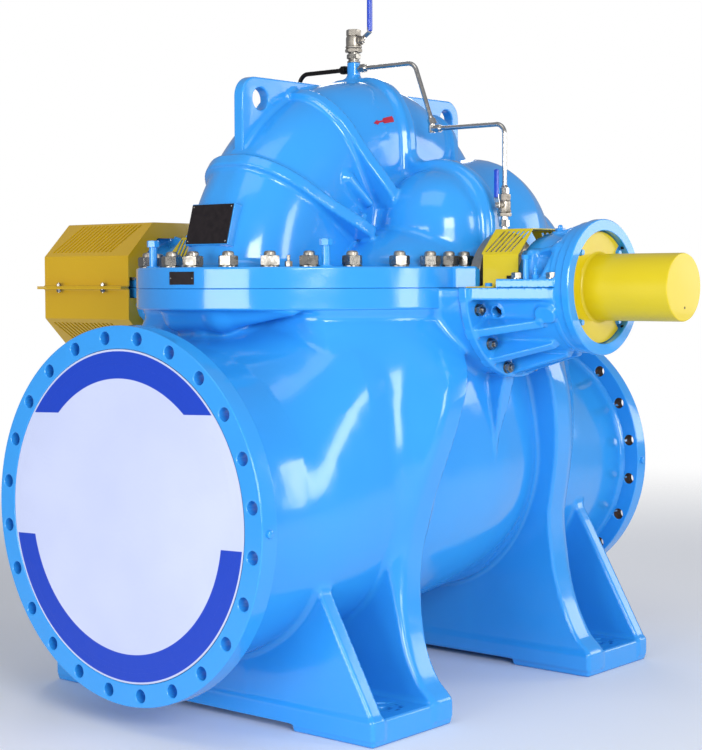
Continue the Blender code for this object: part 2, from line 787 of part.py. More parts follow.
def leg_parts(flow_side):
    """Shapes of one leg."""
    inner = flow_side * LEG_INNER_Y
    outer = flow_side * LEG_OUTER_Y
    low_y = min(inner, outer)
    high_y = max(inner, outer)
    tag = "suction" if flow_side < 0 else "discharge"
    shapes = [leg_rib(f"{tag}_rib", flow_side), leg_gusset(f"{tag}_gusset", flow_side)]
    shapes.append(box(f"{tag}_floor", (-FOOT_HALF_LENGTH, low_y, FOOT_RELIEF),
                      (FOOT_HALF_LENGTH, high_y, FOOT_HEIGHT)))
    shapes.append(box(f"{tag}_core",
                      (-LEG_CORE_HALF_LENGTH, low_y + BURIED, FOOT_RELIEF + BURIED),
                      (LEG_CORE_HALF_LENGTH, high_y - BURIED, LEG_TOP_HEIGHT)))
    for side in SIDES.values():
        near = side * FOOT_PAD_INNER_X
        far = side * FOOT_HALF_LENGTH
        shapes.append(box(f"{tag}_pad_{side}", (min(near, far), low_y, 0.0),
                          (max(near, far), high_y, FOOT_HEIGHT - BURIED)))
    return shapes


def bracket_gusset(name, side):
    """Tapering rib under a bearing bracket, in the middle plane."""
    outline = [(side * x, z) for x, z in BRACKET_GUSSET_EDGE]
    return flat_outline(name, [outline], BRACKET_GUSSET_THICKNESS, plane_square_to_y(0.0))


def anchor_cutters():
    """Anchor holes with their spot faces, one at each corner of the feet."""
    cutters = []
    for x in (-ANCHOR_X, ANCHOR_X):
        for y in (-ANCHOR_Y, ANCHOR_Y):
            cutters.append(rod(f"anchor_{x}_{y}", (x, y, -BURIED), (x, y, ANCHOR_CUT_TOP),
                               ANCHOR_RADIUS, SMALL_SIDES))
            cutters.append(rod(f"seat_{x}_{y}", (x, y, FOOT_HEIGHT - ANCHOR_SEAT_DEPTH),
                               (x, y, ANCHOR_CUT_TOP + BURIED), ANCHOR_SEAT_RADIUS, SEAT_SIDES))
    return cutters


def build_lower_casing():
    """Lower half of the casing with both passages and its cast legs."""
    plate = split_plate("lower_casing", SPLIT_BOTTOM - SPLIT_FLANGE_THICKNESS,
                        SHAFT_HEIGHT + BURIED)
    shapes = [suction_chamber("suction_chamber"), discharge_passage("discharge_passage"),
              volute_body("volute_low", 174.0, 222.0, 5)]
    shapes += leg_parts(-1)
    shapes += leg_parts(1)
    for side in SIDES.values():
        shapes.append(stuffing_box(f"seat_{side}", side, BRACKET_SEAT_RADIUS,
                                   BRACKET_INNER_X - TOUCHING_GAP))
        shapes.append(bracket_gusset(f"bracket_gusset_{side}", side))
    casing = union(plate, shapes)
    cutters = [box("above", (-1, -1, SPLIT_BOTTOM), (1, 1, 2))]
    for side in SIDES.values():
        cutters.append(rod(f"well_{side}", (side * GLAND_INNER_X, 0, SHAFT_HEIGHT),
                           (side * BEARING_INNER_X, 0, SHAFT_HEIGHT), GLAND_RADIUS + 0.002))
    cutters += anchor_cutters()
    casing = cut(casing, cutters)
    return finish_part(casing, blue_enamel())


def build_port_flange(name, flow_side, radius, bolt_circle, bolt_count, height, thickness,
                      sheet_radius):
    """Pipe flange of a port, with its bolt holes and a shallow seat for the cover sheet."""
    holes = []
    for number in range(bolt_count):
        angle = math.radians(360.0 * (number + 0.5) / bolt_count)
        centre = (bolt_circle * math.cos(angle), height + bolt_circle * math.sin(angle))
        holes.append(circle(centre, FLANGE_HOLE_RADIUS, HOLE_SIDES))
    middle = flow_side * (PORT_Y - thickness / 2)
    outline = circle((0.0, height), radius, FLANGE_SIDES)
    flange = flat_outline(name, [outline, *holes], thickness, plane_square_to_y(middle))
    seat = rod("seat", (0, flow_side * (PORT_Y - COVER_SEAT_DEPTH), height),
               (0, flow_side * (PORT_Y + 0.010), height), sheet_radius + TOUCHING_GAP,
               SHEET_SIDES)
    return finish_part(cut(flange, [seat]), blue_enamel())


def build_port_sheet(name, flow_side, radius, height):
    """Stuck-on sheet that closes a port."""
    white = material("cover_sheet", (0.72, 0.76, 0.92), 0.35)
    near = flow_side * (PORT_Y - COVER_SEAT_DEPTH + TOUCHING_GAP)
    far = near + flow_side * COVER_SHEET_THICKNESS
    finish_part(rod(name, (0, near, height), (0, far, height), radius, SHEET_SIDES), white)


def build_gland(tag, side):
    """Seal gland plate round the shaft."""
    bore = SHAFT_RADIUS + TOUCHING_GAP
    depth = GLAND_HUB_END_X - GLAND_INNER_X
    profile = [(bore, depth), (GLAND_HUB_RADIUS, depth),
               (GLAND_HUB_RADIUS, GLAND_PLATE_THICKNESS), (GLAND_RADIUS, GLAND_PLATE_THICKNESS),
               (GLAND_RADIUS, 0.0), (bore, 0.0)]
    start = (side * (GLAND_INNER_X + TOUCHING_GAP), 0, SHAFT_HEIGHT)
    gland = turned(f"seal_gland_{tag}", profile, start, (side, 0, 0))
    return finish_part(gland, steel())


def build_shaft(tag, side):
    """Stretch of the shaft that shows between a seal and its bearing."""
    shaft = rod(f"shaft_{tag}", (side * (GLAND_INNER_X + TOUCHING_GAP), 0, SHAFT_HEIGHT),
                (side * (BEARING_INNER_X - TOUCHING_GAP), 0, SHAFT_HEIGHT), SHAFT_RADIUS,
                SEAT_SIDES)
    return finish_part(shaft, steel())


def bracket_fin(name, side, angle):
    """Tapered fin along a bracket, at an angle in degrees from +Y round under the shaft."""
    inner = side * (BRACKET_INNER_X + BURIED)
    outer = side * (BEARING_OUTER_X - FIN_END_INSET)
    outline = [(inner, FIN_CORE_RADIUS), (inner, BRACKET_FIN_ROOT_RADIUS),
               (side * BRACKET_FIN_WAIST_X, BRACKET_FIN_ROOT_RADIUS - FIN_END_INSET),
               (outer, BRACKET_FIN_TIP_RADIUS), (outer, FIN_CORE_RADIUS)]
    return flat_outline(name, [outline], BRACKET_FIN_THICKNESS, plane_through_shaft(-angle))


def cap_fin(name, side, angle):
    """Tapered fin over a bearing cap, at an angle in degrees from +Y over the top."""
    inner = side * (BEARING_INNER_X + FIN_END_INSET)
    outer = side * (BEARING_OUTER_X - FIN_END_INSET)
    outline = [(inner, FIN_CORE_RADIUS), (inner, CAP_FIN_INNER_RADIUS),
               (outer, CAP_FIN_OUTER_RADIUS), (outer, FIN_CORE_RADIUS)]
    return flat_outline(name, [outline], CAP_FIN_THICKNESS, plane_through_shaft(angle))


def ledge(name, side, bottom, top, start, start_half_width):
    """Flange along the split of a bearing housing, tapering towards its outer end."""
    outline = [(side * start, -start_half_width), (side * BEARING_OUTER_X, -LEDGE_END_HALF_WIDTH),
               (side * BEARING_OUTER_X, LEDGE_END_HALF_WIDTH), (side * start, start_half_width)]
    return flat_outline(name, [outline], top - bottom, plane_level((bottom + top) / 2))


def build_bracket(tag, side):
    """Lower half of a bearing housing, which reaches out from the casing."""
    start = BRACKET_INNER_X
    rim_end = start + BRACKET_RIM_THICKNESS
    body = rod(f"bearing_bracket_{tag}", (side * start, 0, SHAFT_HEIGHT),
               (side * rim_end, 0, SHAFT_HEIGHT), BRACKET_RIM_RADIUS, HOUSING_SIDES)
    shapes = [rod("trough", (side * (start + BURIED / 2), 0, SHAFT_HEIGHT),
                  (side * BEARING_OUTER_X, 0, SHAFT_HEIGHT), BRACKET_BODY_RADIUS, HOUSING_SIDES),
              ledge("trough_ledge", side, SPLIT_BOTTOM - BRACKET_LEDGE_THICKNESS,
                    SHAFT_HEIGHT + BURIED, start + BURIED / 4, LEDGE_START_HALF_WIDTH)]
    for angle in BRACKET_FIN_ANGLES:
        shapes.append(bracket_fin(f"fin_{angle}", side, angle))
    bracket = union(body, shapes)
    cutters = [box("above", (-1, -1, SPLIT_BOTTOM), (1, 1, 2)),
               rod("well", (side * GLAND_INNER_X, 0, SHAFT_HEIGHT),
                   (side * BEARING_INNER_X, 0, SHAFT_HEIGHT), BRACKET_WELL_RADIUS)]
    return finish_part(cut(bracket, cutters), blue_enamel())


def build_bearing_cap(tag, side):
    """Upper half of a bearing housing."""
    cap = rod(f"bearing_cap_{tag}", (side * BEARING_INNER_X, 0, SHAFT_HEIGHT),
              (side * BEARING_OUTER_X, 0, SHAFT_HEIGHT), CAP_RADIUS, HOUSING_SIDES)
    shapes = [ledge("cap_ledge", side, SHAFT_HEIGHT - BURIED, SPLIT_TOP + CAP_LEDGE_THICKNESS,
                    BEARING_INNER_X, CAP_LEDGE_HALF_WIDTH)]
    for angle in CAP_FIN_ANGLES:
        shapes.append(cap_fin(f"cap_fin_{angle}", side, angle))
    cap = union(cap, shapes)
    below = box("below", (-1, -1, 0), (1, 1, SPLIT_TOP))
    return finish_part(cut(cap, [below]), blue_enamel())


def build_bearing_ring(tag, side):
    """End cover of a bearing housing, with a round seat for a guard."""
    depth = RING_OUTER_X - BEARING_OUTER_X - TOUCHING_GAP
    step = RING_STEP_X - BEARING_OUTER_X
    profile = [(0.0, depth - RING_SEAT_DEPTH), (RING_SEAT_RADIUS, depth - RING_SEAT_DEPTH),
               (RING_SEAT_RADIUS, depth), (RING_RADIUS, depth), (RING_RADIUS, step),
               (RING_STEP_RADIUS, step), (RING_STEP_RADIUS, 0.0), (0.0, 0.0)]
    start = (side * (BEARING_OUTER_X + TOUCHING_GAP), 0, SHAFT_HEIGHT)
    ring = turned(f"bearing_cover_{tag}", profile, start, (side, 0, 0), RING_SIDES)
    return finish_part(ring, blue_enamel())


def build_tube_guard():
    """Tube and disc over the free shaft end at +X."""
    seat = RING_OUTER_X - RING_SEAT_DEPTH + TOUCHING_GAP
    length = TUBE_GUARD_END_X - seat
    profile = [(0.0, length), (TUBE_GUARD_RADIUS, length),
               (TUBE_GUARD_RADIUS, TUBE_GUARD_DISC_THICKNESS),
               (TUBE_GUARD_DISC_RADIUS, TUBE_GUARD_DISC_THICKNESS),
               (TUBE_GUARD_DISC_RADIUS, 0.0), (0.0, 0.0)]
    guard = turned("shaft_end_guard", profile, (seat, 0, SHAFT_HEIGHT), (1, 0, 0), RING_SIDES)
    return finish_part(guard, yellow_enamel())


def build_gland_guard(tag, side):
    """Bent sheet cover that stands over the shaft between a seal and its bearing."""
    foot = SPLIT_BOTTOM + TOUCHING_GAP
    shoulder = GLAND_GUARD_SHOULDER_HEIGHT
    outer = [(-GLAND_GUARD_HALF_WIDTH, foot), (-GLAND_GUARD_HALF_WIDTH, shoulder),
             (-GLAND_GUARD_TOP_HALF_WIDTH, GLAND_GUARD_TOP_HEIGHT)]
    outer += [(-y, z) for y, z in reversed(outer)]
    t = GUARD_SHEET
    inner = [(-GLAND_GUARD_HALF_WIDTH + t, foot),
             (-GLAND_GUARD_HALF_WIDTH + t, shoulder - t * BEND_SHARE),
             (-GLAND_GUARD_TOP_HALF_WIDTH + t * BEND_SHARE, GLAND_GUARD_TOP_HEIGHT - t)]
    inner += [(-y, z) for y, z in reversed(inner)]
    length = GLAND_GUARD_END_X - GLAND_GUARD_START_X
    middle = side * (GLAND_GUARD_START_X + GLAND_GUARD_END_X) / 2
    guard = flat_outline(f"gland_guard_{tag}", [outer + inner[::-1]], length,
                         plane_square_to_x(middle))
    return finish_part(guard, yellow_enamel())


def octagon(half_size, corner):
    """Upper half of the eight-sided outline about the shaft, from +Y over to -Y."""
    half = [(half_size, 0.0), (half_size, corner), (corner, half_size)]
    return half + [(-y, z) for y, z in reversed(half)]


def build_end_guard():
    """Eight-sided guard at -X: two bent half shells, a closed end and a mounting plate."""
    t = END_GUARD_SHEET
    length = END_GUARD_START_X - END_GUARD_END_X
    middle = (END_GUARD_START_X + END_GUARD_END_X) / 2
    lip = END_GUARD_HALF_SIZE + END_GUARD_LIP
    for name, up in (("end_guard_upper", 1), ("end_guard_lower", -1)):
        base = TOUCHING_GAP / 2
        outer = octagon(END_GUARD_HALF_SIZE, END_GUARD_CORNER)
        inner = octagon(END_GUARD_HALF_SIZE - t, END_GUARD_CORNER - t * BEND_SHARE)
        outline = [(lip, base), (lip, base + t), (END_GUARD_HALF_SIZE, base + t)]
        outline += outer[1:-1]
        outline += [(-END_GUARD_HALF_SIZE, base + t), (-lip, base + t), (-lip, base)]
        outline += [(-END_GUARD_HALF_SIZE + t, base)]
        outline += inner[1:-1][::-1]
        outline += [(END_GUARD_HALF_SIZE - t, base)]
        placed = [(y, SHAFT_HEIGHT + up * z) for y, z in outline]
        shell = flat_outline(name, [placed], length, plane_square_to_x(middle))
        finish_part(shell, yellow_enamel())
    whole = octagon(END_GUARD_HALF_SIZE - t - TOUCHING_GAP, END_GUARD_CORNER - t * BEND_SHARE)[1:-1]
    ring = [(y, SHAFT_HEIGHT + z) for y, z in whole]
    ring += [(-y, SHAFT_HEIGHT - z) for y, z in whole]
    end_plate = flat_outline("end_guard_end_plate", [ring], t,
                             plane_square_to_x(END_GUARD_END_X + t / 2))
    finish_part(end_plate, yellow_enamel())
    bore = circle((0.0, SHAFT_HEIGHT), END_GUARD_BORE_RADIUS, SEAT_SIDES)
    seat = -(RING_OUTER_X + TOUCHING_GAP + t / 2)
    mount = flat_outline("end_guard_mounting_plate", [ring, bore], t, plane_square_to_x(seat))
    finish_part(mount, yellow_enamel())


def build_left_shaft_end():
    """Shaft end inside the eight-sided guard."""
    seat = RING_OUTER_X - RING_SEAT_DEPTH + TOUCHING_GAP
    end = rod("shaft_end_left", (-seat, 0, SHAFT_HEIGHT), (-LEFT_SHAFT_END_X, 0, SHAFT_HEIGHT),
              SHAFT_RADIUS, SEAT_SIDES)
    return finish_part(end, steel())


def build_vent_valve():
    """Small ball valve on top of the vent neck."""
    nipple = rod("vent_nipple", (VENT_X, 0, VENT_NECK_TOP + TOUCHING_GAP),
                 (VENT_X, 0, VENT_VALVE_BOTTOM - TOUCHING_GAP), VENT_NIPPLE_RADIUS, SMALL_SIDES)
    finish_part(nipple, steel())
    build_ball_valve("vent_valve", (VENT_X, 0.0), (VENT_VALVE_BOTTOM, VENT_VALVE_TOP),
                     VENT_VALVE_RADIUS, Vector((1, 0, 0)), VENT_LEVER_LENGTH)


def box_between(name, first, second):
    """Box between any two opposite corners."""
    low = [min(pair) for pair in zip(first, second)]
    high = [max(pair) for pair in zip(first, second)]
    return box(name, low, high)


def build_ball_valve(name, place, heights, radius, stem, lever_length):
    """Ball valve with an upright body, and its upright lever on the end of its stem."""
    foot = Vector((*place, heights[0]))
    crown = Vector((*place, heights[1]))
    middle = (foot + crown) / 2
    size = radius * VALVE_HEXAGON_SIZE
    body = hexagon(name, foot, foot.lerp(crown, VALVE_HEXAGON_SHARE), size)
    ball = rod("ball", foot.lerp(crown, VALVE_HEXAGON_SHARE * 0.8),
               crown.lerp(foot, VALVE_HEXAGON_SHARE * 0.8), radius, SMALL_SIDES)
    top = hexagon("top", crown.lerp(foot, VALVE_HEXAGON_SHARE), crown, size)
    stem_end = middle + stem * (radius + VALVE_STEM_LENGTH)
    boss = rod("boss", middle, stem_end, radius * VALVE_BOSS_SIZE, SMALL_SIDES)
    finish_part(union(body, [ball, top, boss]), steel())
    pivot = stem_end + stem * TOUCHING_GAP
    lever = hexagon(f"{name}_lever", pivot, pivot + stem * LEVER_HUB_THICKNESS,
                    radius * LEVER_HUB_SIZE)
    up = Vector((0, 0, 1))
    side = up.cross(stem)
    near = pivot + stem * LEVER_BLADE_INSET
    far = near + stem * LEVER_BLADE_THICKNESS + up * lever_length
    half = side * radius * LEVER_BLADE_SIZE
    blade = box_between("blade", near - half, far + half)
    coat = stem * LEVER_GRIP_COAT
    grip_half = side * radius * LEVER_GRIP_SIZE
    grip_start = near + up * lever_length * LEVER_GRIP_START
    grip = box_between("grip", grip_start - coat - grip_half,
                       far + coat + grip_half + up * LEVER_GRIP_COAT)
    lever = union(lever, [blade, grip])
    set_pivot(lever, pivot)
    return finish_part(lever, lever_blue())


def build_flush_line(tag, side):
    """Pipe from the vent neck to a seal, with its fittings and ball valve."""
    gap = TOUCHING_GAP
    take_off = FLUSH_TAKE_OFF_HEIGHT
    fitting_start = VENT_X + side * (VENT_NECK_RADIUS + gap)
    fitting_end = fitting_start + side * FITTING_LENGTH
    finish_part(hexagon(f"flush_fitting_{tag}", (fitting_start, 0, take_off),
                        (fitting_end, 0, take_off), FITTING_ACROSS_FLATS), steel())
    elbow_x = side * FLUSH_ELBOW_X
    elbow_top = FLUSH_ELBOW_HEIGHT + FITTING_ACROSS_FLATS
    route = bend([(fitting_end + side * gap, 0, take_off), (side * FLUSH_SHOULDER_X, 0, take_off),
                  (elbow_x, 0, elbow_top)], UPPER_BEND_RADIUS)
    finish_part(tube(f"flush_pipe_upper_{tag}", route, FLUSH_PIPE_RADIUS), steel())
    elbow = hexagon(f"flush_elbow_{tag}", (elbow_x, 0, FLUSH_ELBOW_HEIGHT - FITTING_ACROSS_FLATS / 2),
                    (elbow_x, 0, elbow_top - ELBOW_MOUTH), FITTING_ACROSS_FLATS)
    arm_end = elbow_x + side * FLUSH_ELBOW_ARM
    arm = hexagon("arm", (elbow_x, 0, FLUSH_ELBOW_HEIGHT), (arm_end, 0, FLUSH_ELBOW_HEIGHT),
                  FITTING_ACROSS_FLATS * 0.9)
    finish_part(union(elbow, [arm]), steel())
    line_x = side * FLUSH_LINE_X
    nut_top = FLUSH_VALVE_TOP + FLUSH_NUT_LENGTH
    route = bend([(arm_end + side * gap, 0, FLUSH_ELBOW_HEIGHT), (line_x, 0, FLUSH_ELBOW_HEIGHT),
                  (line_x, 0, nut_top + gap)], LOWER_BEND_RADIUS)
    finish_part(tube(f"flush_pipe_lower_{tag}", route, FLUSH_PIPE_RADIUS), steel())
    finish_part(hexagon(f"flush_nut_{tag}", (line_x, 0, FLUSH_VALVE_TOP + gap),
                        (line_x, 0, nut_top), FITTING_ACROSS_FLATS), steel())
    build_ball_valve(f"flush_valve_{tag}", (line_x, 0), (FLUSH_VALVE_BOTTOM, FLUSH_VALVE_TOP),
                     FLUSH_VALVE_RADIUS, Vector((0, -1, 0)), FLUSH_LEVER_LENGTH)
    gland_top = SHAFT_HEIGHT + GLAND_RADIUS
    joint = hexagon(f"flush_union_{tag}", (line_x, 0, gland_top + FLUSH_SPIGOT_LENGTH),
                    (line_x, 0, FLUSH_VALVE_BOTTOM - gap), FITTING_ACROSS_FLATS * 1.15)
    spigot = rod("spigot", (line_x, 0, gland_top + gap),
                 (line_x, 0, gland_top + FLUSH_SPIGOT_LENGTH + BURIED / 2), FLUSH_SPIGOT_RADIUS,
                 SMALL_SIDES)
    finish_part(union(joint, [spigot]), steel())


def plate_on_hump(name, half_length, half_height, bottom, top):
    """Flat rectangle facing away from the shaft, between two distances from it."""
    outline = [(-half_length, -half_height), (half_length, -half_height),
               (half_length, half_height), (-half_length, half_height)]
    place = plane_facing_out(NAME_PLATE_ANGLE, (bottom + top) / 2, NAME_PLATE_X)
    return flat_outline(name, [outline], top - bottom, place)


def build_name_plate():
    """Blank name plate on its pad."""
    dark = material("dark_plate", (0.042, 0.034, 0.034), 0.35, 0.6)
    seat = volute_radius(NAME_PLATE_ANGLE) + NAME_PLATE_PAD_HEIGHT + TOUCHING_GAP
    plate = plate_on_hump("name_plate", NAME_PLATE_HALF_LENGTH, NAME_PLATE_HALF_HEIGHT,
                          seat, seat + NAME_PLATE_THICKNESS)
    finish_part(plate, dark)


def build_pump():
    """Build every piece."""
    clear_scene()
    new_collection(PART_COLLECTION)
    new_collection(GUIDE_COLLECTION)
    build_upper_casing()
    build_lower_casing()
    build_port_flange("suction_flange", -1, SUCTION_FLANGE_RADIUS, SUCTION_BOLT_CIRCLE,
                      SUCTION_BOLT_COUNT, SUCTION_CENTRE_HEIGHT, SUCTION_FLANGE_THICKNESS,
                      SUCTION_SHEET_RADIUS)
    build_port_flange("discharge_flange", 1, DISCHARGE_FLANGE_RADIUS, DISCHARGE_BOLT_CIRCLE,
                      DISCHARGE_BOLT_COUNT, DISCHARGE_CENTRE_HEIGHT,
                      DISCHARGE_FLANGE_THICKNESS, DISCHARGE_SHEET_RADIUS)
    build_port_sheet("suction_cover_sheet", -1, SUCTION_SHEET_RADIUS, SUCTION_CENTRE_HEIGHT)
    build_port_sheet("discharge_cover_sheet", 1, DISCHARGE_SHEET_RADIUS,
                     DISCHARGE_CENTRE_HEIGHT)
    for tag, side in SIDES.items():
        build_gland(tag, side)
        build_shaft(tag, side)
        build_bracket(tag, side)
        build_bearing_cap(tag, side)
        build_bearing_ring(tag, side)
        build_gland_guard(tag, side)
        build_flush_line(tag, side)
    build_tube_guard()
    build_end_guard()
    build_left_shaft_end()
    build_vent_valve()
    build_name_plate()
    centre_on_origin()


build_pump()
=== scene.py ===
"""Looks of a horizontal split-case, double-suction centrifugal pump.

The castings are blended from simple forms by their distance fields, the way a pattern maker
rounds every inner corner, and the machined pieces, fasteners, sheet guards and fittings are
modelled one by one. Shapes are drawn about the middle of the casing, in metres, and are then
moved along the shaft to where the frame has them.
"""
import logging
import math
from dataclasses import dataclass, field
from enum import Enum
from typing import Callable, Iterable, Sequence

import bmesh
import bpy
import numpy as np
from mathutils import Matrix, Vector


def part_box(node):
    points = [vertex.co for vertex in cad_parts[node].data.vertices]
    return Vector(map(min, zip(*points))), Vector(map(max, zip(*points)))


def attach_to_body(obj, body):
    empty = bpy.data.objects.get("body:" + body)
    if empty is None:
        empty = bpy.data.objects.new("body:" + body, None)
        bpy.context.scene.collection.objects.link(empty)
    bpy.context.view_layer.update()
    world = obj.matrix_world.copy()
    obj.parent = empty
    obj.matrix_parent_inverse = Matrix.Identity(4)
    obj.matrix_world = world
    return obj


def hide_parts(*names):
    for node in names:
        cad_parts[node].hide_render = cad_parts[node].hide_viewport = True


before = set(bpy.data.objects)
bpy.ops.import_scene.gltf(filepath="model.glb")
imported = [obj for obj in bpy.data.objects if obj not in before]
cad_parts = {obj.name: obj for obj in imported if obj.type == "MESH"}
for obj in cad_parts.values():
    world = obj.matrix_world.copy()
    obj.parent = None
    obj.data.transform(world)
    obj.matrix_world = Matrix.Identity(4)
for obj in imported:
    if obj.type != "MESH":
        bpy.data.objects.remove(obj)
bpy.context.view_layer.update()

MIDDLE_X = sum(corner.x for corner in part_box("suction_flange")) / 2
SHAFT_HEIGHT = 1.042
JOINT_GAP = 0.0004
SKIN = 0.0001
SIDES = {"right": 1, "left": -1}
BOLT_TURNS = (45.0, 135.0, 225.0, 315.0)

Array = np.ndarray
Field = Callable[[Array, Array, Array], Array]
Point = Sequence[float]
Outline = list[tuple[float, float]]
Socket = bpy.types.NodeSocket
LOG = logging.getLogger("pump")


# Distance fields


def join(first: Array, second: Array, radius: float) -> Array:
    """Joins two solids with a round inner corner.

    Args:
        first: Distance to the first solid, negative inside.
        second: Distance to the second solid.
        radius: Radius of the inner corner.

    Returns:
        Distance to both together.
    """
    near = np.hypot(np.maximum(radius - first, 0.0), np.maximum(radius - second, 0.0))
    return np.maximum(radius, np.minimum(first, second)) - near


def overlap(first: Array, second: Array, radius: float) -> Array:
    """Keeps what two solids share, with a round outer edge.

    Args:
        first: Distance to the first solid, negative inside.
        second: Distance to the second solid.
        radius: Radius of the outer edge.

    Returns:
        Distance to the shared part.
    """
    near = np.hypot(np.maximum(radius + first, 0.0), np.maximum(radius + second, 0.0))
    return np.minimum(-radius, np.maximum(first, second)) + near


def oval_distance(across: Array, up: Array, half_width: Array, half_height: Array,
                  squareness: Array) -> Array:
    """Distance to an outline between an ellipse and a rectangle.

    Args:
        across: First coordinate from the outline's centre.
        up: Second coordinate from the outline's centre.
        half_width: Half size along the first coordinate.
        half_height: Half size along the second coordinate.
        squareness: 2 for an ellipse, and more for a squarer outline.

    Returns:
        Distance to the outline, negative inside.
    """
    wide = np.abs(across) / half_width + 1e-6
    tall = np.abs(up) / half_height + 1e-6
    size = (wide ** squareness + tall ** squareness) ** (1.0 / squareness)
    slope = np.hypot((wide / size) ** (squareness - 1) / half_width,
                     (tall / size) ** (squareness - 1) / half_height)
    return (size - 1.0) / slope


def block_distance(x: Array, y: Array, z: Array, low: Point, high: Point,
                   radius: float) -> Array:
    """Distance to a box with round edges.

    Args:
        x: Coordinates along the shaft.
        y: Coordinates along the flow.
        z: Heights.
        low: Lowest corner.
        high: Highest corner.
        radius: Edge radius.

    Returns:
        Distance to the box, negative inside.
    """
    over = [between(value, start, end) + radius for value, start, end in zip((x, y, z), low, high)]
    outside = np.sqrt(sum(np.maximum(part, 0.0) ** 2 for part in over))
    inside = np.minimum(np.maximum(np.maximum(over[0], over[1]), over[2]), 0.0)
    return outside + inside - radius


def capsule_distance(x: Array, y: Array, z: Array, start: Point, end: Point,
                     radius: float, end_radius: float | None = None) -> Array:
    """Distance to a round or tapered bar with ball ends.

    Args:
        x: Coordinates along the shaft.
        y: Coordinates along the flow.
        z: Heights.
        start: Middle of the first ball.
        end: Middle of the last ball.
        radius: Radius at the start.
        end_radius: Radius at the end, where it differs.

    Returns:
        Distance to the bar, negative inside.
    """
    size = radius
    span = np.subtract(end, start)
    along = (x - start[0]) * span[0] + (y - start[1]) * span[1] + (z - start[2]) * span[2]
    share = np.clip(along / float(span @ span), 0.0, 1.0)
    if end_radius is not None:
        size = radius + (end_radius - radius) * share
    return np.sqrt((x - start[0] - share * span[0]) ** 2 + (y - start[1] - share * span[1]) ** 2
                   + (z - start[2] - share * span[2]) ** 2) - size


def between(value: Array, start: float, end: float) -> Array:
    """Distance to the slice between two places."""
    return np.abs(value - (start + end) / 2) - (end - start) / 2


def radial_sheet(y: Array, up: Array, degrees: float, half_thickness: float) -> Array:
    """Distance to an endless sheet that stands out from the shaft's line at an angle.

    Args:
        y: Coordinates along the flow.
        up: Heights over the shaft.
        degrees: Angle from +Y over the top.
        half_thickness: Half of the sheet's thickness.

    Returns:
        Distance to the sheet, negative inside.
    """
    along, above = around(1.0, degrees)
    return np.maximum(np.abs(y * above - up * along) - half_thickness, -y * along - up * above)


class SmoothCurve:
    """Even curve through a few (place, value) pairs, read quickly at many places."""

    SAMPLES = 600

    def __init__(self, places: Sequence[float], values: Sequence[float]) -> None:
        """Samples a curve whose slopes are those of its neighbours.

        Args:
            places: Rising places.
            values: Value at each place.
        """
        at = np.asarray(places, float)
        value = np.asarray(values, float)
        slope = np.gradient(value, at)
        flat = np.diff(value) == 0.0
        slope[:-1][flat] = 0.0
        slope[1:][flat] = 0.0
        self.at = np.linspace(at[0], at[-1], self.SAMPLES)
        part = np.clip(np.searchsorted(at, self.at, side="right") - 1, 0, len(at) - 2)
        width = at[part + 1] - at[part]
        share = (self.at - at[part]) / width
        rise = share * share * (3 - 2 * share)
        lead = share * (1 - share) ** 2
        tail = share * share * (share - 1)
        self.value = (value[part] * (1 - rise) + value[part + 1] * rise
                      + width * (slope[part] * lead + slope[part + 1] * tail))

    def __call__(self, place: Array) -> Array:
        """Value at each place."""
        return np.interp(place, self.at, self.value)


# Meshes


def shifted(shape: Sequence[int]) -> list[tuple[slice, ...]]:
    """The eight windows of a lattice's cells onto its corners."""
    return [tuple(slice(step, step + size) for step, size in zip(corner, shape))
            for corner in np.ndindex(2, 2, 2)]


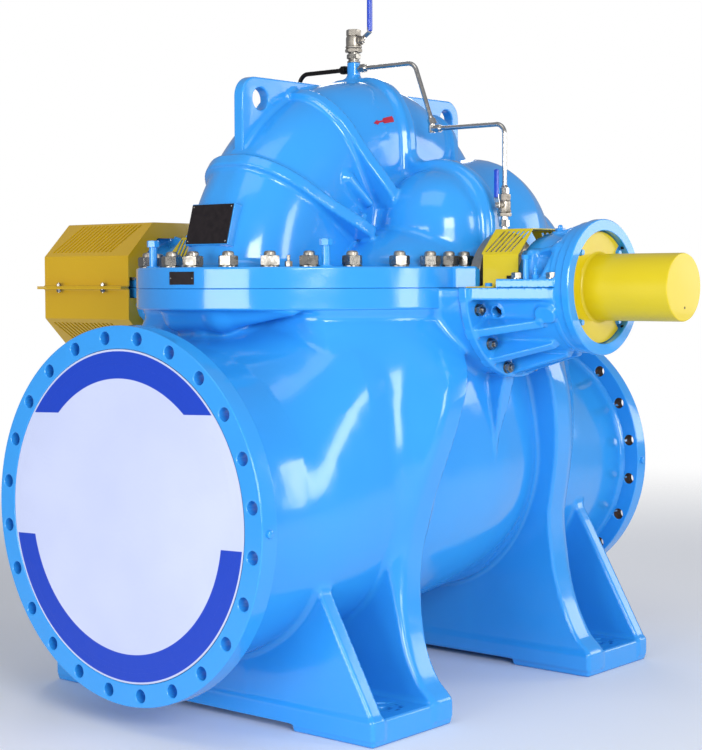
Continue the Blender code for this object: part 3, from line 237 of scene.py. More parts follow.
def surface_cells(field_of: Field, low: Point, high: Point, cell: float) -> tuple[Array, Array]:
    """Finds the surface of a field on a lattice, as points and four-sided faces.

    Only lattice points near the surface are worked out exactly.

    Args:
        field_of: Distance field.
        low: Lowest corner of the lattice.
        high: Highest corner of the lattice.
        cell: Lattice spacing.

    Returns:
        Points, and the corner numbers of each face.
    """
    block = 4
    counts = [block * math.ceil((end - start) / cell / block) + 1
              for start, end in zip(low, high)]
    axes = [start + cell * np.arange(count) for start, count in zip(low, counts)]
    rough = np.meshgrid(*[axis[::block] for axis in axes], indexing="ij")
    guess = field_of(*rough)
    reach = 1.9
    near = np.abs(guess) < cell * block * reach
    fine = guess
    blocks = np.zeros([size - 1 for size in near.shape], bool)
    for window in shifted(blocks.shape):
        blocks |= near[window]
    for axis in range(3):
        fine = np.repeat(fine, block, axis=axis)
        blocks = np.repeat(blocks, block, axis=axis)
    fine = fine[:counts[0], :counts[1], :counts[2]].copy()
    wanted = np.zeros(counts, bool)
    for window in shifted(blocks.shape):
        wanted[window] |= blocks
    where = np.nonzero(wanted)
    fine[where] = field_of(*[axis[index] for axis, index in zip(axes, where)])

    inside = fine < 0.0
    filled = np.zeros([size - 1 for size in counts], np.int8)
    for window in shifted(filled.shape):
        filled += inside[window]
    active = np.argwhere((filled > 0) & (filled < 8))
    number = np.full(filled.shape, -1, np.int32)
    number[tuple(active.T)] = np.arange(len(active))
    total = np.zeros((len(active), 3))
    hits = np.zeros(len(active))
    for axis in range(3):
        others = [other for other in range(3) if other != axis]
        for first, second in np.ndindex(2, 2):
            offset = np.zeros(3, int)
            offset[others[0]] = first
            offset[others[1]] = second
            start = active + offset
            end = start.copy()
            end[:, axis] += 1
            here = fine[tuple(start.T)]
            there = fine[tuple(end.T)]
            crosses = (here < 0.0) != (there < 0.0)
            share = np.where(crosses, here / np.where(crosses, here - there, 1.0), 0.0)
            place = start.astype(float)
            place[:, axis] += share
            total += np.where(crosses[:, None], place, 0.0)
            hits += crosses
    points = np.array([axis[0] for axis in axes]) + cell * total / hits[:, None]

    faces = []
    for axis in range(3):
        first, second = [other for other in range(3) if other != axis]
        start = [slice(None)] * 3
        end = [slice(None)] * 3
        start[axis] = slice(0, -1)
        end[axis] = slice(1, None)
        crosses = inside[tuple(start)] != inside[tuple(end)]
        edges = np.argwhere(crosses)
        keep = ((edges[:, first] > 0) & (edges[:, second] > 0)
                & (edges[:, first] < filled.shape[first])
                & (edges[:, second] < filled.shape[second]))
        edges = edges[keep]
        around = []
        for one, two in ((1, 1), (0, 1), (0, 0), (1, 0)):
            cells = edges.copy()
            cells[:, first] -= one
            cells[:, second] -= two
            around.append(number[tuple(cells.T)])
        quads = np.stack(around, axis=1)
        turned_out = inside[tuple(edges.T)] == (axis != 1)
        quads[~turned_out] = quads[~turned_out][:, ::-1]
        faces.append(quads)
    return points, np.concatenate(faces)


def gradient_of(field_of: Field, points: Array) -> Array:
    """Slope of a field at many points.

    Args:
        field_of: Distance field.
        points: One row for each point.

    Returns:
        One row for each point.
    """
    step = 0.0004
    rows = []
    for axis in range(3):
        ahead = points.copy()
        back = points.copy()
        ahead[:, axis] += step
        back[:, axis] -= step
        rows.append((field_of(*ahead.T) - field_of(*back.T)) / (2 * step))
    return np.stack(rows, axis=1)


def settle(field_of: Field, points: Array, faces: Array, cell: float) -> Array:
    """Spreads points evenly over the surface and brings each exactly onto it.

    Args:
        field_of: Distance field.
        points: Points near the surface.
        faces: Corner numbers of each four-sided face.
        cell: Lattice spacing, which bounds each move.

    Returns:
        The moved points.
    """
    starts = faces.ravel()
    ends = np.roll(faces, -1, axis=1).ravel()
    both_ways = np.concatenate((starts, ends)), np.concatenate((ends, starts))
    degree = np.bincount(both_ways[0], minlength=len(points))[:, None]
    for spread in (0.6, 0.5, 0.4, 0.0):
        if spread:
            mean = np.stack([np.bincount(both_ways[0], points[both_ways[1], axis], len(points))
                             for axis in range(3)], axis=1) / degree
            points = points + spread * (mean - points)
        slope = gradient_of(field_of, points)
        size = np.maximum((slope ** 2).sum(axis=1), 0.05)
        move = (field_of(*points.T) / size)[:, None] * slope
        length = np.linalg.norm(move, axis=1, keepdims=True)
        points = points - move * np.minimum(1.0, cell / np.maximum(length, 1e-9))
    return points


def cast_mesh(name: str, field_of: Field, low: Point, high: Point, cell: float,
              parts: dict[str, Callable[[Array], Array]] | None = None) -> list[bpy.types.Object]:
    """Casting as one or more enamelled mesh objects, shaded by the field's own slope.

    Args:
        name: Name of the object, where the casting isn't divided.
        field_of: Distance field about the casing's middle.
        low: Lowest corner of the lattice.
        high: Highest corner of the lattice.
        cell: Lattice spacing.
        parts: Test of face middles for each named part of a divided casting.

    Returns:
        The objects, moved to their place along the shaft.
    """
    points, faces = surface_cells(field_of, low, high, cell)
    points = settle(field_of, points, faces, cell)
    normals = gradient_of(field_of, points)
    normals /= np.maximum(np.linalg.norm(normals, axis=1, keepdims=True), 1e-9)
    middles = points[faces].mean(axis=1)
    made = []
    for label, test in (parts or {name: lambda middle: np.ones(len(middle), bool)}).items():
        used, own = np.unique(faces[test(middles)], return_inverse=True)
        mesh = bpy.data.meshes.new(label)
        mesh.from_pydata((points[used] + (MIDDLE_X, 0.0, 0.0)).tolist(), [],
                         own.reshape(-1, 4).tolist())
        mesh.shade_smooth()
        close_borders(mesh)
        added = len(mesh.vertices) - len(used)
        mesh.normals_split_custom_set_from_vertices(normals[used].tolist() + [(0, 0, 0)] * added)
        made.append(linked(label, mesh))
    Coat.BLUE.dress(*made)
    return made


def close_borders(mesh: bpy.types.Mesh) -> None:
    """Closes the open rims that dividing a casting leaves.

    Args:
        mesh: Mesh to close.
    """
    form = bmesh.new()
    form.from_mesh(mesh)
    rim = [edge for edge in form.edges if edge.is_boundary]
    if rim:
        bmesh.ops.holes_fill(form, edges=rim, sides=0)
        form.to_mesh(mesh)
    form.free()


def linked(name: str, data: bpy.types.ID) -> bpy.types.Object:
    """Object of the scene that holds a mesh, a curve, a light or a camera."""
    item = bpy.data.objects.new(name, data)
    bpy.context.scene.collection.objects.link(item)
    return item


def finished(name: str, form: bmesh.types.BMesh, coat: "Coat | Finish",
             sharp: float = 40.0) -> bpy.types.Object:
    """Object from a bmesh drawn about the casing's middle, smooth but for its sharp edges.

    Args:
        name: Name of the object.
        form: Its shape, which is freed.
        coat: Its finish.
        sharp: Angle in degrees above which an edge stays sharp.

    Returns:
        The object, moved to its place along the shaft.
    """
    bmesh.ops.remove_doubles(form, verts=form.verts, dist=0.00001)
    bmesh.ops.recalc_face_normals(form, faces=form.faces)
    bmesh.ops.translate(form, vec=(MIDDLE_X, 0, 0), verts=form.verts)
    mesh = bpy.data.meshes.new(name)
    form.to_mesh(mesh)
    form.free()
    mesh.shade_smooth()
    mesh.set_sharp_from_angle(angle=math.radians(sharp))
    item = linked(name, mesh)
    weigh_normals(item)
    coat.dress(item)
    return item


def weigh_normals(item: bpy.types.Object) -> None:
    """Keeps broad flat faces flat where a rounded edge runs round them.

    Args:
        item: Object whose mesh gets the normals.
    """
    item.modifiers.new("flat", "WEIGHTED_NORMAL").keep_sharp = True
    graph = bpy.context.evaluated_depsgraph_get()
    weighed = bpy.data.meshes.new_from_object(item.evaluated_get(graph))
    item.modifiers.clear()
    plain = item.data
    item.data = weighed
    bpy.data.meshes.remove(plain)
    weighed.name = item.name


def rounded(corners: Sequence[Point], radius: float, steps: int = 4,
            closed: bool = False) -> list[tuple[float, ...]]:
    """Line through corners, each inner corner turned on an arc.

    Args:
        corners: Corner points in two or three dimensions.
        radius: Radius of each arc, less where the sides are short.
        steps: Pieces in each arc.
        closed: Whether the line ends where it starts.

    Returns:
        Points of the line.
    """
    points = [Vector(corner) for corner in corners]
    count = len(points)
    line = [] if closed else [tuple(points[0])]
    for index in range(count if closed else count - 2):
        here = points[index if closed else index + 1]
        back = points[index - 1 if closed else index] - here
        ahead = points[(index + 1) % count if closed else index + 2] - here
        turn = back.angle(ahead, math.pi)
        if turn > math.pi - 0.01:
            line.append(tuple(here))
            continue
        reach = min(radius / math.tan(turn / 2), 0.48 * back.length, 0.48 * ahead.length)
        own = reach * math.tan(turn / 2)
        start = here + back.normalized() * reach
        end = here + ahead.normalized() * reach
        middle = here + (back.normalized() + ahead.normalized()).normalized() * (
            own / math.sin(turn / 2))
        first = start - middle
        last = end - middle
        sweep = first.angle(last, 0.0)
        for step in range(steps + 1):
            share = step / steps
            weight = math.sin(sweep) or 1.0
            arm = (first * math.sin((1 - share) * sweep) + last * math.sin(share * sweep)) / weight
            line.append(tuple(middle + arm))
    if not closed:
        line.append(tuple(points[-1]))
    return line


def around(radius: float, degrees: float) -> tuple[float, float]:
    """Place at an angle on a circle about the origin."""
    turn = math.radians(degrees)
    return radius * math.cos(turn), radius * math.sin(turn)


def circle(centre: Point, radius: float, sides: int) -> Outline:
    """Closed round outline."""
    spots = [around(radius, 360.0 * step / sides) for step in range(sides)]
    return [(centre[0] + across, centre[1] + up) for across, up in spots]


def rod(radius: float, low: float, high: float) -> Outline:
    """Profile of a plain round bar."""
    return [(0, low), (radius, low), (radius, high), (0, high)]


def stud(radius: float, low: float, shoulder: float, tip: float, high: float) -> Outline:
    """Profile of a round bar that narrows to its tip's radius above a shoulder."""
    return [(0, low), (radius, low), (radius, shoulder), (tip, high), (0, high)]


def axis_place(start: Point, direction: Point) -> Matrix:
    """Placing whose own Z runs from a point in a direction."""
    turn = Vector((0, 0, 1)).rotation_difference(Vector(direction)).to_matrix().to_4x4()
    return Matrix.Translation(Vector(start)) @ turn


def across_shaft(x: float, height: float = SHAFT_HEIGHT, up: int = 1) -> Matrix:
    """Placing at a point of the shaft for an outline drawn as (y, height)."""
    return Matrix(((0, 0, 1, x), (1, 0, 0, 0), (0, up, 0, height), (0, 0, 0, 1)))


def bridge(form: bmesh.types.BMesh, rows: Sequence[Sequence[bmesh.types.BMVert]],
           capped: bool = True) -> None:
    """Skins closed rows of corners.

    Args:
        form: Shape that holds the corners.
        rows: Rows of as many corners each; a row may repeat a single corner.
        capped: Whether the first and last row are filled.
    """
    for row, above in zip(rows, rows[1:]):
        for step, corner in enumerate(row):
            beside = (step + 1) % len(row)
            corners = list(dict.fromkeys((corner, row[beside], above[beside], above[step])))
            if len(corners) > 2:
                form.faces.new(corners)
    if capped:
        form.faces.new(rows[0][::-1])
        form.faces.new(rows[-1])


def add_turned(form: bmesh.types.BMesh, profile: Sequence[Point], place: Matrix,
               sides: int = 48) -> None:
    """Adds a body turned about its own Z.

    Args:
        form: Shape that takes the body.
        profile: (radius, height) pairs; the body is closed where a radius is 0.
        place: Placing of the body's axis.
        sides: Steps round the axis.
    """
    rows = []
    for radius, height in profile:
        if radius < 1e-7:
            rows.append([form.verts.new(place @ Vector((0, 0, height)))] * sides)
        else:
            rows.append([form.verts.new(place @ Vector((*spot, height)))
                         for spot in circle((0, 0), radius, sides)])
    bridge(form, rows, False)


def add_hexagon(form: bmesh.types.BMesh, across_flats: float, bottom: float, top: float,
                place: Matrix, chamfer_ends: tuple[bool, bool] = (True, True)) -> None:
    """Adds a hexagonal bar whose ends are turned down to a cone, as on a nut.

    Args:
        form: Shape that takes the bar.
        across_flats: Distance between opposite flats.
        bottom: Start along the bar's own Z.
        top: End along the bar's own Z.
        place: Placing of the bar's axis.
        chamfer_ends: Whether the bottom and the top are turned down.
    """
    cone_radius = across_flats / 2 * 0.98
    cone_slope = 0.58
    sides = 36
    ring = []
    for step in range(sides):
        turn = 360.0 * step / sides
        off = math.radians((turn + 30.0) % 60.0 - 30.0)
        ring.append((turn, across_flats / 2 / math.cos(off)))
    levels = []
    for face, cut, way in zip((bottom, top), chamfer_ends, (1, -1)):
        end = [(turn, min(radius, cone_radius) if cut else radius, face) for turn, radius in ring]
        side = [(turn, radius, face + way * cone_slope * max(0.0, radius - cone_radius) * cut)
                for turn, radius in ring]
        levels += [end, side][::way]
    bridge(form, [[form.verts.new(place @ Vector((*around(radius, turn), z)))
                   for turn, radius, z in level] for level in levels])


@dataclass(frozen=True)
class Bolt:
    """Bolt, nut or plug along its own Z: a hexagon with a turned seat and a turned end."""

    flats: float
    bottom: float
    top: float
    seat: Sequence[Point] = ()
    end: Sequence[Point] = ()
    seat_sides: int = 24
    end_sides: int = 16
    chamfer_ends: tuple[bool, bool] = (True, True)

    def add(self, form: bmesh.types.BMesh, place: Matrix) -> None:
        """Adds the bolt to a shape."""
        add_hexagon(form, self.flats, self.bottom, self.top, place, self.chamfer_ends)
        add_turned(form, self.seat, place, self.seat_sides)
        add_turned(form, self.end, place, self.end_sides)


def add_block(form: bmesh.types.BMesh, low: Point, high: Point, edge: float,
              place: Matrix = Matrix(), segments: int = 3) -> None:
    """Adds a box with round edges.

    Args:
        form: Shape that takes the box.
        low: Lowest corner.
        high: Highest corner.
        edge: Edge radius.
        place: Placing of the box.
        segments: Steps across each edge.
    """
    made = bmesh.ops.create_cube(form, size=1.0)["verts"]
    low = Vector(low)
    size = Vector(high) - low
    for vert in made:
        vert.co = Vector([low[axis] + (vert.co[axis] + 0.5) * size[axis] for axis in range(3)])
    if edge:
        edges = list({link for vert in made for link in vert.link_edges})
        made = bmesh.ops.bevel(form, geom=edges, offset=edge, segments=segments, profile=0.5,
                               affect="EDGES")["verts"]
    bmesh.ops.transform(form, matrix=place, verts=list(set(made)))


def add_tube(form: bmesh.types.BMesh, route: Sequence[Point], radius: float,
             sides: int = 16) -> None:
    """Adds a round bar along a route, with closed ends.

    Args:
        form: Shape that takes the bar.
        route: Points of its middle line.
        radius: Radius of the bar.
        sides: Points round the bar.
    """
    points = [Vector(point) for point in route]
    ahead = (points[1] - points[0]).normalized()
    across = ahead.orthogonal().normalized()
    rows = []
    for before, point, after in zip([points[0], *points], points, [*points[1:], points[-1]]):
        new_ahead = (after - before).normalized()
        across = (ahead.rotation_difference(new_ahead) @ across).normalized()
        ahead = new_ahead
        up = ahead.cross(across)
        rows.append([form.verts.new(point + across * sideways + up * upward)
                     for sideways, upward in circle((0, 0), radius, sides)])
    bridge(form, rows)


def outline_form(loops: Sequence[Sequence[Point]], thickness: float, place: Matrix,
                 edge: float = 0.0) -> bmesh.types.BMesh:
    """Plate from closed outlines, with rounded edges.

    Args:
        loops: Outer outline, then the outlines of its holes.
        thickness: Thickness of the plate, or 0 for a bare face.
        place: Placing of the plate's middle.
        edge: Radius of its edges.

    Returns:
        The shape.
    """
    curve = bpy.data.curves.new("outline", "CURVE")
    curve.dimensions = "2D"
    curve.fill_mode = "BOTH" if thickness else "FRONT"
    curve.extrude = max(0.0, thickness / 2 - edge)
    curve.bevel_depth = edge
    curve.bevel_resolution = 2
    curve.offset = -edge
    for loop in loops:
        spline = curve.splines.new("POLY")
        spline.points.add(len(loop) - 1)
        for point, (across, up) in zip(spline.points, loop):
            point.co = (across, up, 0.0, 1.0)
        spline.use_cyclic_u = True
    item = linked("outline", curve)
    bpy.context.view_layer.update()
    mesh = bpy.data.meshes.new_from_object(
        item.evaluated_get(bpy.context.evaluated_depsgraph_get()))
    bpy.data.objects.remove(item, do_unlink=True)
    bpy.data.curves.remove(curve)
    form = bmesh.new()
    form.from_mesh(mesh)
    bpy.data.meshes.remove(mesh)
    bmesh.ops.remove_doubles(form, verts=form.verts, dist=0.00002)
    bmesh.ops.transform(form, matrix=place, verts=form.verts)
    return form


def bent_sheet(loops: Sequence[Sequence[Point]], bends: Sequence[Point], thickness: float,
               inside_radius: float) -> bmesh.types.BMesh:
    """Sheet cut flat with its holes and then bent.

    Args:
        loops: Outer outline and holes of the flat sheet, as (along the bends, across them).
        bends: Corners of the bent section, as (y, z) on its outer face.
        thickness: Thickness, added towards the inside.
        inside_radius: Radius of each bend on the outer face.

    Returns:
        The shape, with the bends along X.
    """
    form = outline_form(loops, 0.0, Matrix())
    line = [Vector(point) for point in rounded(bends, inside_radius, 4)]
    lengths = [0.0]
    for before, after in zip(line, line[1:]):
        lengths.append(lengths[-1] + (after - before).length)
    for length in lengths[1:-1]:
        bmesh.ops.bisect_plane(form, geom=form.verts[:] + form.edges[:] + form.faces[:],
                               plane_co=(0, length, 0), plane_no=(0, 1, 0), dist=0.000001)
    ys = [point.x for point in line]
    zs = [point.y for point in line]
    for vert in form.verts:
        along, across = vert.co.x, vert.co.y
        y, z = [float(np.interp(across, lengths, values)) for values in (ys, zs)]
        vert.co = (along, y, z)
    bmesh.ops.recalc_face_normals(form, faces=form.faces)
    form.normal_update()
    middle = sum((vert.co for vert in form.verts), Vector()) / len(form.verts)
    facing = sum((face.normal.dot(face.calc_center_median() - middle) * face.calc_area()
                  for face in form.faces))
    if facing < 0:
        bmesh.ops.reverse_faces(form, faces=form.faces[:])
        form.normal_update()
    bmesh.ops.solidify(form, geom=form.faces[:], thickness=thickness)
    return form


def flat_length(bends: Sequence[Point], radius: float) -> float:
    """Length of a bent section along its outer face."""
    line = [Vector(point) for point in rounded(bends, radius, 4)]
    return sum((after - before).length for before, after in zip(line, line[1:]))


# Finishes


def linear(code: str) -> tuple[float, float, float, float]:
    """Linear colour from an sRGB hex value.

    Args:
        code: Six hex digits after a hash.

    Returns:
        Red, green, blue and 1.
    """
    parts = [int(code[start:start + 2], 16) / 255 for start in (1, 3, 5)]
    return (*[part / 12.92 if part <= 0.04045 else ((part + 0.055) / 1.055) ** 2.4
              for part in parts], 1.0)


def add_node(tree: bpy.types.NodeTree, kind: str, settings: dict | None = None,
             links: dict | None = None) -> bpy.types.Node:
    """Adds a node with its settings and links.

    Args:
        tree: Node tree.
        kind: Blender's name of the node type.
        settings: Property names or input sockets, with their values.
        links: Input sockets, each with the output socket that feeds it.

    Returns:
        The node.
    """
    node = tree.nodes.new(kind)
    for key, value in (settings or {}).items():
        if isinstance(key, str) and hasattr(node, key):
            setattr(node, key, value)
        else:
            node.inputs[key].default_value = value
    for key, output in (links or {}).items():
        tree.links.new(output, node.inputs[key])
    return node


class FinishNodes:
    """Node tree of one material, with the steps that its finish is laid from."""

    def __init__(self, tree: bpy.types.NodeTree) -> None:
        """Starts from the shader that a new material has."""
        self.tree = tree
        self.shader = tree.nodes["Principled BSDF"]
        self.place = add_node(tree, "ShaderNodeTexCoord").outputs["Object"]

    def noise(self, size_mm: float, detail: float = 1.0, **settings: float) -> Socket:
        """Noise whose features have a real size."""
        settings = {"Scale": 1000 / size_mm, "Detail": detail, **settings}
        return add_node(self.tree, "ShaderNodeTexNoise", settings,
                        {"Vector": self.place}).outputs[0]

    def blend(self, share: Socket, first: Socket | str, second: Socket | str) -> Socket:
        """Colour between two, each a hex value or a socket."""
        node = add_node(self.tree, "ShaderNodeMix", {"data_type": "RGBA"}, {0: share})
        for number, colour in ((6, first), (7, second)):
            if isinstance(colour, str):
                node.inputs[number].default_value = linear(colour)
            else:
                self.tree.links.new(colour, node.inputs[number])
        return node.outputs[2]

    def spread(self, value: Socket, start: float, end: float, low: float = 0.0,
               high: float = 1.0) -> Socket:
        """Value brought from one range to another."""
        settings = {"From Min": start, "From Max": end, "To Min": low, "To Max": high}
        return add_node(self.tree, "ShaderNodeMapRange", settings, {"Value": value}).outputs[0]

    def bump(self, height: Socket, depth: Point, under: Socket | None = None) -> Socket:
        """Normal over a relief of some strength and depth, laid on another relief or none."""
        node = add_node(self.tree, "ShaderNodeBump", dict(zip(("Strength", "Distance"), depth)),
                        {"Height": height})
        if under is not None:
            self.tree.links.new(under, node.inputs["Normal"])
        return node.outputs[0]

    def calculate(self, operation: str, *values: Socket | float) -> Socket:
        """Result of a sum on sockets and numbers."""
        node = add_node(self.tree, "ShaderNodeMath", {"operation": operation})
        for number, value in enumerate(values):
            if isinstance(value, float):
                node.inputs[number].default_value = value
            else:
                self.tree.links.new(value, node.inputs[number])
        return node.outputs[0]

    def feed(self, settings: dict[str, object], links: dict[str, Socket]) -> None:
        """Sets some of the shader's sockets and links others."""
        for key, value in settings.items():
            self.shader.inputs[key].default_value = value
        for key, output in links.items():
            self.tree.links.new(output, self.shader.inputs[key])


class Finish:
    """A real surface: a subclass names it and lays its nodes."""

    def material(self) -> bpy.types.Material:
        """Material of this finish, made once."""
        made = bpy.data.materials.get(self.title)
        if made is None:
            made = bpy.data.materials.new(self.title)
            made.use_nodes = True
            self.lay(FinishNodes(made.node_tree))
        return made

    def dress(self, *items: bpy.types.Object) -> None:
        """Gives objects this finish alone."""
        for item in items:
            item.data.materials.clear()
            item.data.materials.append(self.material())


@dataclass(frozen=True)
class GlossEnamel(Finish):
    """Gloss alkyd enamel, sprayed on filled and primed cast iron.

    It gives the eye deep colour under a wet-looking skin, whose reflections wander a little over
    the casting's own unevenness and the fine orange peel of the spray.
    """

    title: str
    colour: str
    deep_colour: str
    roughness: float = 0.16
    coat: float = 0.55
    # The peel is three times as coarse as real orange peel, which would be finer than a pixel
    peel_mm: float = 9.0
    casting_mm: float = 85.0
    cloud_mm: float = 420.0
    peel_depth: tuple[float, float] = (0.07, 0.0008)
    casting_depth: tuple[float, float] = (0.30, 0.007)

    def lay(self, nodes: FinishNodes) -> None:
        """Lays colour clouds, casting waves and orange peel.

        Args:
            nodes: Node tree of the material.
        """
        cloud = nodes.noise(self.cloud_mm, 3.0, Roughness=0.6)
        waves = nodes.bump(nodes.noise(self.casting_mm), self.casting_depth)
        nodes.feed({"IOR": 1.5, "Coat Weight": self.coat, "Coat Roughness": 0.05},
                   {"Base Color": nodes.blend(cloud, self.deep_colour, self.colour),
                    "Roughness": nodes.spread(cloud, 0.3, 0.7, self.roughness * 0.8,
                                              self.roughness * 1.3),
                    "Normal": nodes.bump(nodes.noise(self.peel_mm), self.peel_depth, waves)})


@dataclass(frozen=True)
class PlatedSteel(Finish):
    """Steel with a thin bright plating, or bare stainless steel.

    It gives the eye hard grey reflections, broken by fine turning or drawing marks and by a dull
    bloom that differs from place to place.
    """

    title: str
    colour: str
    bloom_colour: str
    roughness: float = 0.24
    mark_mm: float = 1.6
    bloom_mm: float = 14.0
    mark_depth: tuple[float, float] = (0.15, 0.0004)

    def lay(self, nodes: FinishNodes) -> None:
        """Lays bloom over the colour and the roughness, and fine marks.

        Args:
            nodes: Node tree of the material.
        """
        bloom = nodes.noise(self.bloom_mm, 4.0)
        nodes.feed({"Metallic": 1.0},
                   {"Base Color": nodes.blend(bloom, self.colour, self.bloom_colour),
                    "Roughness": nodes.spread(bloom, 0.3, 0.75, self.roughness * 0.7,
                                              self.roughness * 1.6),
                    "Normal": nodes.bump(nodes.noise(self.mark_mm, 2.0), self.mark_depth)})


@dataclass(frozen=True)
class DippedVinyl(Finish):
    """Soft vinyl, dipped on a lever; also black painted shade on discs deep in the drain holes.

    It gives the eye a deep, even colour with a broad soft sheen and slight sags.
    """

    title: str
    colour: str
    deep_colour: str
    sag_mm: float = 16.0
    sag_depth: tuple[float, float] = (0.2, 0.001)

    def lay(self, nodes: FinishNodes) -> None:
        """Lays sags and a slight change of depth.

        Args:
            nodes: Node tree of the material.
        """
        sag = nodes.noise(self.sag_mm)
        nodes.feed({"IOR": 1.53, "Roughness": 0.28, "Coat Weight": 0.3, "Coat Roughness": 0.12},
                   {"Base Color": nodes.blend(sag, self.deep_colour, self.colour),
                    "Normal": nodes.bump(sag, self.sag_depth)})


@dataclass(frozen=True)
class RawIron(Finish):
    """Drilled cast iron that has begun to rust.

    It gives the eye a dark brown-grey with rusty patches and no shine.
    """

    title: str = "drilled_iron_and_tube_drain_shade"
    colour: str = "#2A2321"
    rust_colour: str = "#5A3320"
    patch_mm: float = 9.0
    patch_depth: tuple[float, float] = (0.4, 0.001)

    def lay(self, nodes: FinishNodes) -> None:
        """Lays rust patches and their grain.

        Args:
            nodes: Node tree of the material.
        """
        patch = nodes.noise(self.patch_mm, 5.0)
        share = nodes.spread(patch, 0.45, 0.62)
        nodes.feed({"Roughness": 0.8},
                   {"Base Color": nodes.blend(share, self.colour, self.rust_colour),
                    "Normal": nodes.bump(patch, self.patch_depth)})


@dataclass(frozen=True)
class PrintedFilm(Finish):
    """Self-adhesive vinyl film, printed with two plain bands and stretched over a port.

    It gives the eye a cool white with soft sheen, drum-tight in the middle, slightly rippled and
    creased along the bore beneath, and two flat royal blue bands along the rim.
    """

    title: str
    height: float
    band_inner: float
    band_outer: float
    # Heights over the port's middle at which the bands are cut off, and how the film is turned
    upper_cut: float
    lower_cut: float
    turned: float = 0.035
    colour: str = "#CFD6F0"
    shade_colour: str = "#BAC3E4"
    band_colour: str = "#083CB8"
    band_edge: float = 0.0006
    crease_radius: float = 0.362
    crease_width: float = 0.005
    crease_share: float = 0.15
    ripple_mm: float = 55.0
    cloud_mm: float = 250.0
    ripple_depth: tuple[float, float] = (0.35, 0.003)

    def lay(self, nodes: FinishNodes) -> None:
        """Lays the bands by distance and height about the port's middle, crease and ripples.

        Args:
            nodes: Node tree of the material.
        """
        parts = add_node(nodes.tree, "ShaderNodeSeparateXYZ", None, {0: nodes.place}).outputs
        across = nodes.calculate("SUBTRACT", parts[0], MIDDLE_X)
        up = nodes.calculate("SUBTRACT", parts[2], self.height)
        flat = add_node(nodes.tree, "ShaderNodeCombineXYZ", None, {0: across, 1: up})
        reach = add_node(nodes.tree, "ShaderNodeVectorMath", {"operation": "LENGTH"},
                         {0: flat.outputs[0]}).outputs["Value"]
        level = nodes.calculate("MULTIPLY_ADD", across, -self.turned, up)
        inner, outer, above, below = [
            nodes.spread(source, cut - way * self.band_edge, cut + way * self.band_edge)
            for source, cut, way in ((reach, self.band_inner, 1), (reach, self.band_outer, -1),
                                     (level, self.upper_cut, 1), (level, self.lower_cut, -1))]
        ring = nodes.calculate("MULTIPLY", inner, outer)
        band = nodes.calculate("MULTIPLY", ring, nodes.calculate("MAXIMUM", above, below))
        white = nodes.blend(nodes.noise(self.cloud_mm, 2.0), self.colour, self.shade_colour)
        crease = nodes.calculate("COMPARE", reach, self.crease_radius, self.crease_width)
        ripple = nodes.noise(self.ripple_mm, 2.0, Distortion=0.8)
        relief = nodes.calculate("MULTIPLY_ADD", crease, self.crease_share, ripple)
        nodes.feed({"IOR": 1.5, "Roughness": 0.35},
                   {"Base Color": nodes.blend(band, white, self.band_colour),
                    "Normal": nodes.bump(relief, self.ripple_depth)})


@dataclass(frozen=True)
class StudioFloor(Finish):
    """Matt painted studio floor, which fades into the background away from the pump."""

    title: str = "studio_floor_paint"
    colour: str = "#F4F5F7"
    fade_start: float = 2.2
    fade_end: float = 5.5

    def lay(self, nodes: FinishNodes) -> None:
        """Lays the paint and its fade.

        Args:
            nodes: Node tree of the material.
        """
        tree = nodes.tree
        reach = add_node(tree, "ShaderNodeVectorMath", {"operation": "LENGTH"}, {0: nodes.place})
        fade = add_node(tree, "ShaderNodeMapRange",
                        {"interpolation_type": "SMOOTHSTEP", "From Min": self.fade_start,
                         "From Max": self.fade_end}, {"Value": reach.outputs["Value"]})
        clear = add_node(tree, "ShaderNodeBsdfTransparent")
        mix = add_node(tree, "ShaderNodeMixShader", None,
                       {0: fade.outputs[0], 1: nodes.shader.outputs[0], 2: clear.outputs[0]})
        nodes.feed({"Base Color": linear(self.colour), "Roughness": 0.7}, {})
        tree.links.new(mix.outputs[0], tree.nodes["Material Output"].inputs["Surface"])


class Coat(Enum):
    """Finishes that the pump's pieces take."""

    BLUE = GlossEnamel("sky_blue_gloss_enamel", "#369DEA", "#2B93E3", coat=0.4)
    YELLOW = GlossEnamel("signal_yellow_enamel", "#DBC50E", "#D2B90A", roughness=0.34, coat=0.15,
                         casting_mm=160.0, peel_mm=6.0)
    OLD_YELLOW = GlossEnamel("guard_yellow_enamel", "#DDB206", "#CFA203", roughness=0.30, coat=0.3,
                             casting_mm=120.0, peel_mm=6.0)
    RED = GlossEnamel("red_lettering_enamel", "#C01C3A", "#A81430", roughness=0.35, coat=0.2)
    ZINC = PlatedSteel("zinc_plated_steel", "#A6A39C", "#7C776E", roughness=0.27)
    STAINLESS = PlatedSteel("drawn_stainless_steel", "#D5D2CC", "#B7B2AA", roughness=0.2)
    CAST_STAINLESS = PlatedSteel("cast_stainless_steel", "#BDB6AA", "#928B80", roughness=0.38)
    # Dark steel of the end rings' screws; on the left flush line's fitting and upper pipe it is
    # painted shade, since those are bright steel like the right line's.
    DARK_STEEL_AND_PIPE_SHADE = PlatedSteel("dark_steel_and_painted_pipe_shade", "#3A3836", "#221F1E", roughness=0.35)
    VINYL = DippedVinyl("deep_blue_dipped_vinyl", "#1A4ED0", "#0E37A8")
    # Black painted shade on discs set deep in the bearing brackets' drain holes.
    BRACKET_DRAIN_SHADE = DippedVinyl("painted_bracket_drain_shade", "#0B0B0C", "#070708")
    PLATE = PlatedSteel("dark_anodised_plate", "#4A4344", "#3C3637", roughness=0.42)
    # Bare drilled iron in the discharge flange's holes, and painted shade on the tube guard's drain
    # disc.
    IRON_AND_TUBE_DRAIN_SHADE = RawIron()
    FLOOR = StudioFloor()

    def dress(self, *items: bpy.types.Object) -> None:
        """Gives objects this finish alone."""
        self.value.dress(*items)


# Frame


